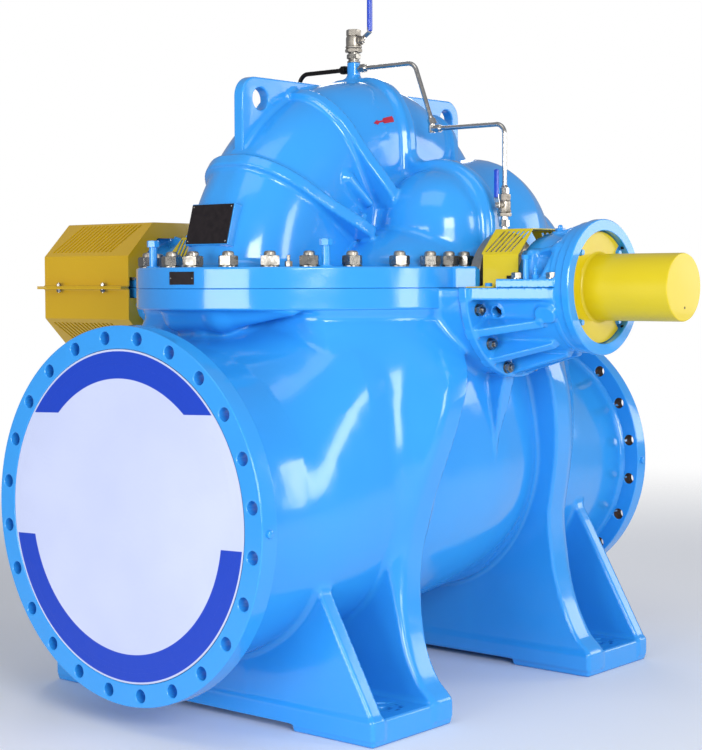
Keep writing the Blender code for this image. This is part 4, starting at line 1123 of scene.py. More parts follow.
def attach(pieces: Iterable[bpy.types.Object], body: str, slot: str, *nodes: str) -> None:
    """Lets pieces ride a body and stand for nodes of the frame.

    Args:
        pieces: Pieces of one finish.
        body: Body that they move with.
        slot: Material slot of the record; not used.
        nodes: Nodes that the first piece replaces.
    """
    pieces = list(pieces)
    for piece in pieces:
        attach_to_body(piece, body)
    if nodes:
        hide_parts(*nodes)
    LOG.info("%s: %d pieces", pieces[0].name, len(pieces))


# Castings


@dataclass
class Volute:
    """Spiral passage round the impeller, which stands over the split flange as a hump."""

    start_radius: float = 0.492
    growth_per_turn: float = 0.200
    half_width: float = 0.175
    corner_width: float = 0.135
    corner_height: float = 0.170
    front_half_width: float = 0.162
    front_corner_width: float = 0.145
    front_corner_height: float = 0.200
    front_angles: tuple[float, float] = (95.0, 150.0)
    foot_flare: float = 0.015
    inner_radius: float = 0.100

    def radius(self, angle: Array | float) -> Array | float:
        """Outer radius at an angle in degrees from +Y over the top."""
        return self.start_radius + self.growth_per_turn * angle / 360.0

    def distance(self, x: Array, y: Array, z: Array) -> Array:
        """Distance to the spiral."""
        up = z - SHAFT_HEIGHT
        out = np.hypot(y, up)
        angle = np.degrees(np.arctan2(up, y))
        angle = np.where(angle < -90.0, angle + 360.0, angle)
        first, last = self.front_angles
        front = np.clip((angle - first) / (last - first), 0.0, 1.0)
        front = front * front * (3 - 2 * front)
        half = self.half_width + (self.front_half_width - self.half_width) * front
        wide = self.corner_width + (self.front_corner_width - self.corner_width) * front
        tall = self.corner_height + (self.front_corner_height - self.corner_height) * front
        base = self.radius(angle) - tall
        flare = self.foot_flare * np.clip((base - out) / (base - self.inner_radius), 0.0, 1.0)
        beside = np.maximum((np.abs(x) - flare - half + wide) / wide, 0.0)
        above = np.maximum((out - base) / tall, 0.0)
        size = np.maximum(np.hypot(beside, above), 1e-5)
        slope = np.maximum(np.hypot(beside / wide, above / tall) / size, 1e-3)
        return np.where(size > 1e-4, (size - 1.0) / slope, -wide)


@dataclass
class SplitFlange:
    """Flange between the two halves of the casing, with its nuts and its joint line."""

    half_length: float = 0.466
    half_width: float = 0.680
    front_squareness: float = 2.02
    rear_squareness: float = 2.45
    thickness: float = 0.052
    edge: float = 0.006
    points: int = 480
    ear_inner_y: float = 0.139
    ear_corner_y: float = 0.158
    ear_end_x: float = 0.5065
    ear_slope: float = 6.0
    nut_angles: tuple[float, ...] = (-169.3, -160.9, -152.4, -140.0, -128.9, -118.4, -96.1, -86.4,
                                     -73.9, -61.6, -51.1, -40.0, -27.6, -19.1, -13.5, -8.7)
    nut_inset: float = 0.030
    nut: Bolt = Bolt(0.044, 0.003, 0.027, [(0, 0), (0.0245, 0), (0.0245, 0.0022), (0.0235, 0.003),
                                           (0, 0.003)], seat_sides=32)
    nut_turn: float = 0.9
    stud_radius: float = 0.0145
    stud_height: float = 0.038
    jack_spots: tuple[tuple[float, float], ...] = ((-0.127, -0.633), (0.306, -0.482),
                                                   (0.127, 0.640), (-0.306, 0.540))
    jack: Bolt = Bolt(0.027, 0.050, 0.066, rod(0.0098, -0.01, 0.052),
                      [(0, 0), (0.017, 0), (0.016, 0.003), (0, 0.003)], 20, 24)
    small_spot: tuple[float, float] = (0.248, -0.550)
    small_bolt: Bolt = Bolt(0.016, 0.0, 0.013, (), stud(0.0042, 0.012, 0.027, 0.003, 0.028),
                            end_sides=14)
    crisp: float = 0.0012
    arc_steps: int = 5
    # How far inside the flange's outline each casting's own skin under it ends
    plane_inset: float = 0.010
    plane_edge: float = 0.004

    @property
    def top(self) -> float:
        """Height of the upper half's top face."""
        return SHAFT_HEIGHT + self.thickness

    @property
    def bottom(self) -> float:
        """Height of the lower half's bottom face."""
        return SHAFT_HEIGHT - self.thickness

    def outline_distance(self, x: Array, y: Array, inset: float) -> Array:
        """Distance in plan to the flange's outline, drawn in by an inset."""
        squareness = np.where(y < 0.0, self.front_squareness, self.rear_squareness)
        return oval_distance(x, y, self.half_length - inset, self.half_width - inset, squareness)

    def spot(self, angle: float, inset: float) -> tuple[float, ...]:
        """Place in plan at an angle in degrees of the outline drawn in by an inset."""
        shares = around(1.0, angle)
        power = 2.0 / (self.front_squareness if shares[1] < 0.0 else self.rear_squareness)
        return tuple((half - inset) * math.copysign(abs(share) ** power, share)
                     for half, share in zip((self.half_length, self.half_width), shares))

    def with_ear(self, x: float, y: float, inset: float) -> float:
        """Place along the shaft where the upper plate reaches out beside each seal."""
        if abs(y) < self.ear_inner_y + inset:
            return x
        reach = self.ear_end_x - inset - max(0.0, abs(y) - self.ear_corner_y) * self.ear_slope
        return math.copysign(max(abs(x), reach), x)

    def plate(self, name: str, bottom: float, top: float, round_top: bool) -> bpy.types.Object:
        """One half of the flange as a turned-looking plate with one round edge.

        Args:
            name: Name of the piece.
            bottom: Height of its underside.
            top: Height of its top.
            round_top: Whether the top edge is the round one, and not the bottom edge.

        Returns:
            The piece.
        """
        arc = [around(self.edge, 90.0 * step / self.arc_steps)
               for step in range(self.arc_steps + 1)]
        arc = [(self.edge - inset, self.edge - drop) for inset, drop in arc]
        if round_top:
            rows = [(inset, top - drop) for inset, drop in arc[::-1]]
            rows += [(0.0, bottom + self.crisp), (self.crisp, bottom)]
        else:
            rows = [(self.crisp, top), (0.0, top - self.crisp)]
            rows += [(inset, bottom + drop) for inset, drop in arc]
        form = bmesh.new()
        rings = []
        for inset, height in rows:
            spots = [self.spot(360.0 * (step + 0.5) / self.points, inset)
                     for step in range(self.points)]
            if round_top:
                spots = [(self.with_ear(x, y, inset), y) for x, y in spots]
            rings.append([form.verts.new((*spot, height)) for spot in spots])
        bridge(form, rings)
        return finished(name, form, Coat.BLUE)

    def build(self) -> dict[str, list[bpy.types.Object]]:
        """Plates, nuts with their studs, and jacking screws.

        Returns:
            The pieces of each half, by the half's name.
        """
        upper = self.plate("split_flange_upper", SHAFT_HEIGHT + JOINT_GAP, self.top, True)
        lower = self.plate("split_flange_lower", self.bottom, SHAFT_HEIGHT - JOINT_GAP, False)
        nuts, studs, jacks, bolt = [bmesh.new() for _ in range(4)]
        radius = self.stud_radius
        height = self.stud_height
        profile = [(0, 0.02), (radius, 0.02), (radius, height - 0.005),
                   (radius * 0.8, height - 0.001), (radius * 0.45, height), (0, height + 0.0004)]
        angles = [angle + turn for turn in (0.0, 180.0) for angle in self.nut_angles]
        for number, angle in enumerate(angles):
            place = Matrix.Translation((*self.spot(angle, self.nut_inset), self.top))
            place = place @ Matrix.Rotation(self.nut_turn * number, 4, "Z")
            self.nut.add(nuts, place)
            add_turned(studs, profile, place, 24)
        for spot in self.jack_spots:
            self.jack.add(jacks, Matrix.Translation((*spot, self.top)))
        self.small_bolt.add(bolt, Matrix.Translation((*self.small_spot, self.top)))
        return {"upper": [upper, finished("split_flange_nuts", nuts, Coat.ZINC, 30),
                          finished("split_flange_studs", studs, Coat.CAST_STAINLESS),
                          finished("jacking_screws", jacks, Coat.BLUE, 30),
                          finished("small_flange_bolt", bolt, Coat.ZINC, 30)], "lower": [lower]}


@dataclass
class UpperCasing:
    """Upper half of the casing: hump with cast hoops, two suction domes and the lifting plate."""

    flange: SplitFlange
    volute: Volute = field(default_factory=Volute)
    cell: float = 0.0065
    # Balls that each dome is stretched over, as (x, y, height, radius)
    dome_fillet: float = 0.034
    seam_fillet: float = 0.030
    dome_balls: tuple[tuple[float, ...], ...] = ((0.277, 0.0, 1.190, 0.159),
                                                 (0.250, 0.180, 1.182, 0.192),
                                                 (0.220, 0.365, 1.115, 0.170))
    # Flattened ball under each dome, which slopes down to the flange: middle and half sizes
    skirt_middle: tuple[float, float, float] = (0.238, 0.0, 1.050)
    skirt_size: tuple[float, float, float] = (0.212, 0.292, 0.168)
    hoop_angles: tuple[float, ...] = (147.0, 119.0, 61.0, 33.0)
    hoop_height: float = 0.015
    hoop_half_thickness: float = 0.0165
    web_flare: float = 0.052
    web_start: float = 0.440
    web_end: float = 0.247
    crown_heights: tuple[float, float] = (0.016, 0.024)
    crown_half_thickness: float = 0.021
    crown_corner: float = 0.050
    # Spot faces round the rear nuts that stand against the domes
    pocket_start: float = 0.25
    pocket_radius: float = 0.031
    pocket_height: float = 0.062
    pocket_corner: float = 0.008
    pocket_edge: float = 0.005
    # Radius of most inner corners and of most outer edges, and where they differ
    fillet: float = 0.012
    edge: float = 0.006
    web_edge: float = 0.008
    crown_edge: float = 0.012
    crown_fillet: float = 0.018
    box_fillet: float = 0.022
    neck_fillet: float = 0.014
    fold_radius: float = 0.010
    fold_fillet: float = 0.024
    foot_fillet: float = 0.024
    # How far the casting reaches down into the split flange
    foot_depth: float = 0.028
    # Ends of the ridge and of the boss between each dome and the hump
    folds: tuple[tuple[tuple[float, ...], ...], ...] = (
        ((0.172, -0.235, 1.318), (0.190, -0.178, 1.258)),
        ((0.170, -0.208, 1.222), (0.197, -0.210, 1.222)))
    plug: tuple[float, float, float] = (0.4130, -0.0610, 1.1490)
    plug_way: tuple[float, float, float] = (0.88, -0.39, -0.27)
    box_radius: float = 0.100
    box_end: float = 0.470
    lug_front: float = -0.460
    lug_rear: float = 0.438
    lug_top: float = 1.570
    lug_bottom: float = 1.120
    lug_corner: float = 0.050
    lug_thickness: float = 0.030
    lug_holes: tuple[float, float] = (-0.393, 0.380)
    lug_hole_height: float = 1.516
    lug_hole_radius: float = 0.028
    neck_x: float = -0.010
    neck_radius: float = 0.0175
    neck_top: float = 1.644
    neck_root: float = 1.5

    def dome(self, x: Array, y: Array, z: Array) -> Array:
        """Distance to the suction domes."""
        across = np.abs(x)
        whole = None
        for (ax, ay, az, ar), (bx, by, bz, br) in zip(self.dome_balls, self.dome_balls[1:]):
            span_x = bx - ax
            span_y = by - ay
            share = np.clip(((across - ax) * span_x + (y - ay) * span_y)
                            / (span_x ** 2 + span_y ** 2), 0.0, 1.0)
            plan = np.hypot(across - ax - share * span_x, y - ay - share * span_y)
            high = np.maximum(z - az - share * (bz - az), 0.0)
            part = np.hypot(plan, high) - ar - share * (br - ar)
            whole = part if whole is None else join(whole, part, self.seam_fillet)
        return whole

    def distance(self, x: Array, y: Array, z: Array) -> Array:
        """Distance to the whole casting above the split flange."""
        spiral = self.volute.distance(x, y, z)
        dome = self.dome(x, y, z)
        up = z - SHAFT_HEIGHT
        body = join(spiral, dome, self.dome_fillet)
        over_hump, over_dome = self.crown_heights
        crown = join(spiral - over_hump, dome - over_dome, self.crown_corner)
        crown = overlap(crown, np.abs(y) - self.crown_half_thickness, self.crown_edge)
        across = np.abs(x)
        skirt = [(place - middle) / size for place, middle, size
                 in zip((across, y, z), self.skirt_middle, self.skirt_size)]
        reach = np.sqrt(sum(part ** 2 for part in skirt))
        slope = np.sqrt(sum((part / size) ** 2 for part, size in zip(skirt, self.skirt_size)))
        body = join(body, (reach - 1.0) * reach / np.maximum(slope, 1e-3), self.fillet)
        seal_box = overlap(np.hypot(y, up) - self.box_radius, across - self.box_end, self.edge)
        body = join(body, seal_box, self.box_fillet)
        out = np.hypot(y, up)
        share = np.clip((self.web_start - out) / (self.web_start - self.web_end), 0.0, 1.0)
        flare = self.web_flare * share * share * (3 - 2 * share)
        raised = self.volute.distance(np.maximum(across - flare, 0.0), y, z)
        raised = overlap(raised - self.hoop_height, self.web_end - out, self.web_edge)
        for angle in self.hoop_angles:
            rib = radial_sheet(y, up, angle, self.hoop_half_thickness)
            body = join(body, overlap(raised, rib, self.edge), self.fillet)
        body = join(body, crown, self.crown_fillet)
        body = join(body, self.lug_core(x, y, z), self.fillet)
        neck = np.maximum(np.hypot(x - self.neck_x, y) - self.neck_radius + SKIN,
                          np.maximum(z - self.neck_top + 0.01, self.neck_root - z))
        body = join(body, neck, self.neck_fillet)
        folds = [capsule_distance(across, y, z, start, end, self.fold_radius)
                 for start, end in self.folds]
        body = join(body, np.minimum(*folds), self.fold_fillet)
        plane = overlap(z - self.flange.top + SKIN,
                        self.flange.outline_distance(x, y, self.flange.plane_inset),
                        self.flange.plane_edge)
        body = join(body, plane, self.foot_fillet)
        above = between(z, self.flange.top, self.flange.top + self.pocket_height)
        for angle in self.flange.nut_angles:
            spot_x, spot_y = self.flange.spot(angle + 180.0, self.flange.nut_inset)
            if spot_y > self.pocket_start:
                off = np.hypot(x - spot_x, y - spot_y) - self.pocket_radius
                pocket = overlap(off, above, self.pocket_corner)
                body = overlap(body, -pocket, self.pocket_edge)
        return np.maximum(body, self.flange.top - self.foot_depth - z)

    def lug_core(self, x: Array, y: Array, z: Array) -> Array:
        """Distance to a plate just inside the lifting plate, which carries its fillets."""
        inset = 0.007
        half = (self.lug_top - self.lug_bottom) / 2
        plate = block_distance(y, z - self.lug_bottom - half, np.zeros_like(x),
                               (self.lug_front + inset, -half, -1.0),
                               (self.lug_rear - inset, half - inset, 1.0), self.lug_corner)
        for place in self.lug_holes:
            off = np.hypot(y - place, z - self.lug_hole_height)
            plate = np.maximum(plate, self.lug_hole_radius + inset - off)
        return np.maximum(plate, np.abs(x) - self.lug_thickness / 2 + SKIN)

    def lifting_plate(self) -> bpy.types.Object:
        """Plate across the casing with a lifting hole at each end."""
        foot = 1.30
        corners = [(self.lug_rear, foot), (self.lug_rear, self.lug_top),
                   (self.lug_front, self.lug_top), (self.lug_front, foot)]
        outline = rounded(corners, self.lug_corner, 12)
        holes = [circle((place, self.lug_hole_height), self.lug_hole_radius, 40)
                 for place in self.lug_holes]
        form = outline_form([outline, *holes], self.lug_thickness, across_shaft(0, 0), 0.004)
        return finished("lifting_plate", form, Coat.BLUE)

    def build(self) -> list[bpy.types.Object]:
        """Casting, lifting plate, vent neck and plug."""
        body = cast_mesh("upper_casting", self.distance, (-0.49, -0.70, 1.055),
                         (0.49, 0.70, 1.66), self.cell)
        plate = self.lifting_plate()
        neck = bmesh.new()
        profile = stud(self.neck_radius, 1.55, self.neck_top - 0.002, self.neck_radius - 0.002,
                       self.neck_top)
        add_turned(neck, profile, Matrix.Translation((self.neck_x, 0, 0)), 32)
        plug = bmesh.new()
        add_hexagon(plug, 0.019, -0.006, 0.008, axis_place(self.plug, self.plug_way))
        return [*body, plate, finished("vent_neck", neck, Coat.BLUE),
                finished("dome_plug", plug, Coat.BLUE, 30)]


@dataclass
class LowerCasing:
    """Lower half of the casing: suction chamber, discharge passage and two cast legs."""

    flange: SplitFlange
    volute: Volute = field(default_factory=Volute)
    cell: float = 0.0075
    shoulder: float = 0.9
    bulge_balls: tuple[tuple[float, ...], ...] = ((-0.075, -0.592, 0.978, 0.043),
                                                  (0.070, -0.590, 0.980, 0.041),
                                                  (0.250, -0.545, 0.992, 0.014))
    port_y: float = 0.860
    # (side, height, radius of the disc behind the flange, flange thickness) of each port
    ports: tuple[tuple[float, ...], ...] = ((-1, 0.511, 0.4035, 0.050), (1, 0.531, 0.3465, 0.045))
    # Rows of (y, half width, bottom, top, squareness) of each passage
    suction_rows: tuple[tuple[float, ...], ...] = (
        (-0.840, 0.385, 0.126, 0.896, 2.00), (-0.800, 0.385, 0.126, 0.896, 2.00),
        (-0.740, 0.392, 0.128, 0.897, 2.03), (-0.660, 0.408, 0.140, 0.905, 2.12),
        (-0.580, 0.424, 0.152, 0.930, 2.22), (-0.480, 0.436, 0.158, 0.985, 2.30),
        (-0.360, 0.446, 0.165, 1.040, 2.36), (-0.220, 0.454, 0.178, 1.052, 2.40),
        (-0.060, 0.456, 0.195, 1.052, 2.40), (0.080, 0.452, 0.212, 1.052, 2.36),
        (0.200, 0.432, 0.232, 1.052, 2.30), (0.300, 0.392, 0.262, 1.052, 2.24),
        (0.380, 0.330, 0.320, 1.052, 2.16), (0.430, 0.240, 0.400, 1.052, 2.10),
        (0.460, 0.100, 0.560, 1.052, 2.05))
    discharge_rows: tuple[tuple[float, ...], ...] = (
        (-0.100, 0.240, 0.300, 1.000, 2.20), (0.000, 0.300, 0.240, 1.000, 2.20),
        (0.150, 0.330, 0.215, 1.000, 2.25), (0.300, 0.352, 0.200, 0.985, 2.25),
        (0.420, 0.358, 0.193, 0.955, 2.20), (0.540, 0.354, 0.190, 0.915, 2.12),
        (0.660, 0.344, 0.192, 0.883, 2.04), (0.740, 0.338, 0.194, 0.869, 2.00),
        (0.800, 0.335, 0.196, 0.866, 2.00), (0.845, 0.335, 0.196, 0.866, 2.00))
    foot_half_length: float = 0.545
    foot_height: float = 0.060
    foot_relief: float = 0.020
    pad_inner_x: float = 0.298
    leg_inner_y: float = 0.3035
    leg_outer_y: float = 0.602
    gusset_thickness: float = 0.042
    gusset_top: tuple[float, float] = (0.365, 0.378)
    gusset_peak: tuple[float, float] = (0.250, 0.560)
    rib_thickness: float = 0.075
    rib_slope: float = 0.6
    core_half_length: float = 0.150
    rib_edge: float = 0.009
    wall_edge: float = 0.025
    gusset_round: float = 0.008
    foot_edge: float = 0.006
    leg_fillet: float = 0.012
    core_fillet: float = 0.030
    # Radii between the passages, the spiral, the bulge, the seats, the fins and the legs
    passage_fillet: float = 0.06
    spiral_fillet: float = 0.03
    bulge_fillet: float = 0.016
    seat_fillet: float = 0.018
    fin_fillet: float = 0.010
    wall_fillet: float = 0.022
    # Rows of (height, reach along the shaft, inner y, flare) of each leg's tall rib
    rib_rows: tuple[tuple[float, ...], ...] = (
        (0.000, 0.545, 0.3035, 0.004), (0.060, 0.545, 0.3035, 0.004),
        (0.100, 0.510, 0.3035, 0.004), (0.160, 0.476, 0.3020, 0.006),
        (0.240, 0.452, 0.2940, 0.010), (0.330, 0.440, 0.2840, 0.024),
        (0.430, 0.441, 0.2690, 0.050), (0.530, 0.462, 0.2580, 0.090),
        (0.620, 0.484, 0.2380, 0.130), (0.700, 0.498, 0.2140, 0.170),
        (0.780, 0.5045, 0.1880, 0.220), (0.860, 0.5045, 0.1580, 0.270),
        (0.960, 0.5045, 0.1400, 0.300), (1.060, 0.5045, 0.1300, 0.300))
    # How the casing's wall leans out below the split flange: inset, height and slope
    wall_limit: tuple[float, float, float] = (0.013, 0.965, 0.5)
    seat_radius: float = 0.219
    seat_x: float = 0.5045
    seat_start_x: float = 0.24
    well_radius: float = 0.140
    box_end: float = 0.470
    gusset_half_thickness: float = 0.023
    gusset_edge: tuple[tuple[float, float], ...] = ((0.618, 0.452), (0.830, 0.5045))
    anchor: tuple[float, float, float] = (0.465, 0.470, 0.021)
    anchor_seat_radius: float = 0.042

    def passage(self, rows: Sequence[Point], y: Array, x: Array, z: Array,
                shoulder: float = 0.0) -> Array:
        """Distance to a water passage given by rows of sections along the flow."""
        places, *columns = zip(*rows)
        half, low, high, power = [SmoothCurve(places, column)(y) for column in columns]
        above = z - (low + high) / 2
        power = power + shoulder * (np.clip(above / 0.2, 0.0, 1.0)
                                    * np.clip((y + 0.66) / 0.2, 0.0, 1.0))
        return oval_distance(x, above, half, (high - low) / 2, power)

    def leg(self, x: Array, y: Array, z: Array, way: int) -> Array:
        """Distance to one leg.

        Args:
            x: Coordinates along the shaft.
            y: Coordinates along the flow.
            z: Heights.
            way: -1 for the suction side's leg, 1 for the discharge side's.

        Returns:
            Distance to the leg.
        """
        out = y * way
        across = np.abs(x)
        heights, *columns = zip(*self.rib_rows)
        reach, inner, flare = [SmoothCurve(heights, column)(z) for column in columns]
        outer = inner + self.rib_thickness
        flank = (across - reach + (out - outer) * self.rib_slope) / math.hypot(1.0, self.rib_slope)
        rib = across - reach
        for side in (inner - out, flank, out - outer - flare):
            rib = overlap(rib, side, self.rib_edge)
        inset, height, lean = self.wall_limit
        limit = self.flange.outline_distance(x, y, inset - lean * np.clip(height - z, 0.0, 0.5))
        rib = overlap(rib, limit, self.wall_edge)
        rib = np.maximum(rib, self.foot_relief - z)
        top_x, top_z = self.gusset_top
        slope_x = self.foot_half_length - top_x
        slope_z = top_z - self.foot_height
        size = math.hypot(slope_x, slope_z)
        edge = ((across - self.foot_half_length) * slope_z
                + (z - self.foot_height) * slope_x) / size
        peak_x, peak_z = self.gusset_peak
        cap = ((across - top_x) * (peak_z - top_z) + (z - top_z) * (top_x - peak_x)) / math.hypot(
            peak_z - top_z, top_x - peak_x)
        half = self.gusset_thickness / 2
        sheet = np.abs(out - self.leg_outer_y + half) - half
        gusset = overlap(sheet, np.maximum(np.maximum(edge, cap), across - self.foot_half_length),
                         self.gusset_round)
        gusset = np.maximum(gusset, self.foot_relief - z)
        floor = block_distance(across, out, z, (-1.0, self.leg_inner_y, self.foot_relief),
                               (self.foot_half_length, self.leg_outer_y, self.foot_height),
                               self.foot_edge)
        pad = block_distance(across, out, z, (self.pad_inner_x, self.leg_inner_y, 0.0),
                             (self.foot_half_length, self.leg_outer_y, self.foot_height),
                             self.foot_edge)
        core = block_distance(across, out, z, (-1.0, self.leg_inner_y + 0.02, 0.03),
                              (self.core_half_length, self.leg_outer_y - 0.02, 0.5), 0.01)
        body = join(rib, gusset, self.leg_fillet)
        body = join(body, np.minimum(floor, pad), self.leg_fillet)
        return join(body, core, self.core_fillet)

    def distance(self, x: Array, y: Array, z: Array) -> Array:
        """Distance to the whole casting below the split flange."""
        across = np.abs(x)
        up = z - SHAFT_HEIGHT
        suction = self.passage(self.suction_rows, y, x, z, self.shoulder)
        suction = np.maximum(suction, y - 0.459)
        delivery = self.passage(self.discharge_rows, y, x, z)
        delivery = np.maximum(delivery, -0.09 - y)
        body = join(suction, delivery, self.passage_fillet)
        spiral = self.volute.distance(x, y, z)
        spiral = np.maximum(spiral, y + 0.30)
        body = join(body, spiral, self.spiral_fillet)
        for (*start, radius), (*end, end_radius) in zip(self.bulge_balls, self.bulge_balls[1:]):
            bulge = capsule_distance(x, y, z, start, end, radius, end_radius)
            body = join(body, bulge, self.bulge_fillet)
        seat = overlap(np.hypot(y, up) - self.seat_radius, across - self.seat_x, 0.004)
        body = join(body, np.maximum(seat, self.seat_start_x - across), self.seat_fillet)
        (low_z, low_x), (high_z, high_x) = self.gusset_edge
        edge = ((across - low_x) * (high_z - low_z) - (z - low_z) * (high_x - low_x)) / math.hypot(
            high_z - low_z, high_x - low_x)
        taper = self.gusset_half_thickness * np.clip((z - 0.60) / 0.16, 0.15, 1.0)
        fin = overlap(np.abs(y) - taper, np.maximum(edge, z - 0.9), 0.006)
        body = join(body, np.maximum(fin, 0.56 - z), self.fin_fillet)
        for way in (-1, 1):
            body = join(body, self.leg(x, y, z, way), self.bulge_fillet)
        plane = overlap(self.flange.bottom + SKIN - z,
                        self.flange.outline_distance(x, y, self.flange.plane_inset),
                        self.flange.plane_edge)
        body = join(body, plane, self.wall_fillet)
        for way, height, rim, inner in self.ports:
            face = self.port_y - inner + SKIN - y * way
            disc = np.maximum(face, np.hypot(x, z - height) - rim)
            body = join(body, disc, self.seat_fillet)
            body = np.maximum(body, y * way - self.port_y + inner / 2)
        well = np.maximum(np.hypot(y, up) - self.well_radius, self.box_end - across)
        body = np.maximum(body, -well)
        at_x, at_y, radius = self.anchor
        plan = np.hypot(across - at_x, np.abs(y) - at_y)
        hole = np.maximum(plan - radius, z - 0.2)
        spot_face = np.maximum(plan - self.anchor_seat_radius, self.foot_height - 0.003 - z)
        spot_face = np.maximum(spot_face, z - self.foot_height - 0.04)
        body = overlap(body, -hole, 0.002)
        body = np.maximum(body, -spot_face)
        return np.maximum(body, z - SHAFT_HEIGHT + JOINT_GAP)

    def build(self) -> list[bpy.types.Object]:
        """Both sides of the casting."""
        return cast_mesh("lower_casting", self.distance, (-0.562, -0.86, -0.012),
                         (0.562, 0.86, 1.056), self.cell,
                         {"lower_casting_suction_side": lambda middle: middle[:, 1] < 0.0,
                          "lower_casting_discharge_side": lambda middle: middle[:, 1] >= 0.0})


@dataclass
class PortFlange:
    """Pipe flange of a port with its ring of bolt holes and the film over the port."""

    name: str
    way: int
    radius: float
    bolt_circle: float
    bolt_count: int
    height: float
    thickness: float
    sheet_radius: float
    rusty_holes: bool
    port_y: float = 0.860
    hole_radius: float = 0.0155
    edge: float = 0.003
    sides: int = 160
    # Radii of the bands and heights of their cuts on a film of the given radius
    film_sizes: tuple[float, ...] = (0.3235, 0.3875, 0.2415, -0.0575)
    film_radius: float = 0.392

    def build(self) -> None:
        """Flange ring and its film."""
        holes = []
        for number in range(self.bolt_count):
            across, up = around(self.bolt_circle, 360.0 * (number + 0.5) / self.bolt_count)
            holes.append(circle((across, self.height + up), self.hole_radius, 28))
        holes.append(circle((0.0, self.height), self.sheet_radius + 0.0008, self.sides))
        outline = circle((0.0, self.height), self.radius, self.sides)
        middle = self.way * (self.port_y - self.thickness / 2)
        place = Matrix(((1, 0, 0, 0), (0, 0, -1, middle), (0, 1, 0, 0), (0, 0, 0, 1)))
        form = outline_form([outline, *holes], self.thickness, place, self.edge)
        boss = (self.radius - 0.004, self.way * (self.port_y - 0.022), self.height - 0.002)
        add_turned(form, stud(0.0095, 0, 0.009, 0.0080, 0.0105), axis_place(boss, (1, 0, 0)), 20)
        ring = finished(f"{self.name}_flange_ring", form, Coat.BLUE, 50)
        ring.data.materials.append(Coat.IRON_AND_TUBE_DRAIN_SHADE.value.material())
        if self.rusty_holes:
            margin = 0.006
            for face in ring.data.polygons:
                off = math.hypot(face.center.x - MIDDLE_X, face.center.z - self.height)
                depth = self.port_y - abs(face.center.y)
                if margin < depth < self.thickness - margin and off < self.radius - 0.01:
                    face.material_index = 1
        attach([ring], "root", "blue_enamel", f"{self.name}_flange")
        attach([self.film()], "root", "cover_sheet", f"{self.name}_cover_sheet")

    def film(self) -> bpy.types.Object:
        """Film over the port, drawn in a little between the rim and the middle."""
        form = bmesh.new()
        front = self.way * (self.port_y - 0.0006)
        profile = [(0.0, 0.0), (0.12, 0.0), (0.24, 0.0003), (0.33, 0.0006),
                   (self.sheet_radius * 0.985, 0.0003), (self.sheet_radius, -0.0004),
                   (self.sheet_radius, -0.0014)]
        rows = [(radius, -0.0004 + rise * 0.5) for radius, rise in profile] + [(0.0, -0.0014)]
        add_turned(form, rows, axis_place((0, front, self.height), (0, self.way, 0)), 120)
        sizes = [size * (self.sheet_radius / self.film_radius) for size in self.film_sizes]
        return finished(f"{self.name}_film", form,
                        PrintedFilm(f"{self.name}_printed_film", self.height, *sizes))


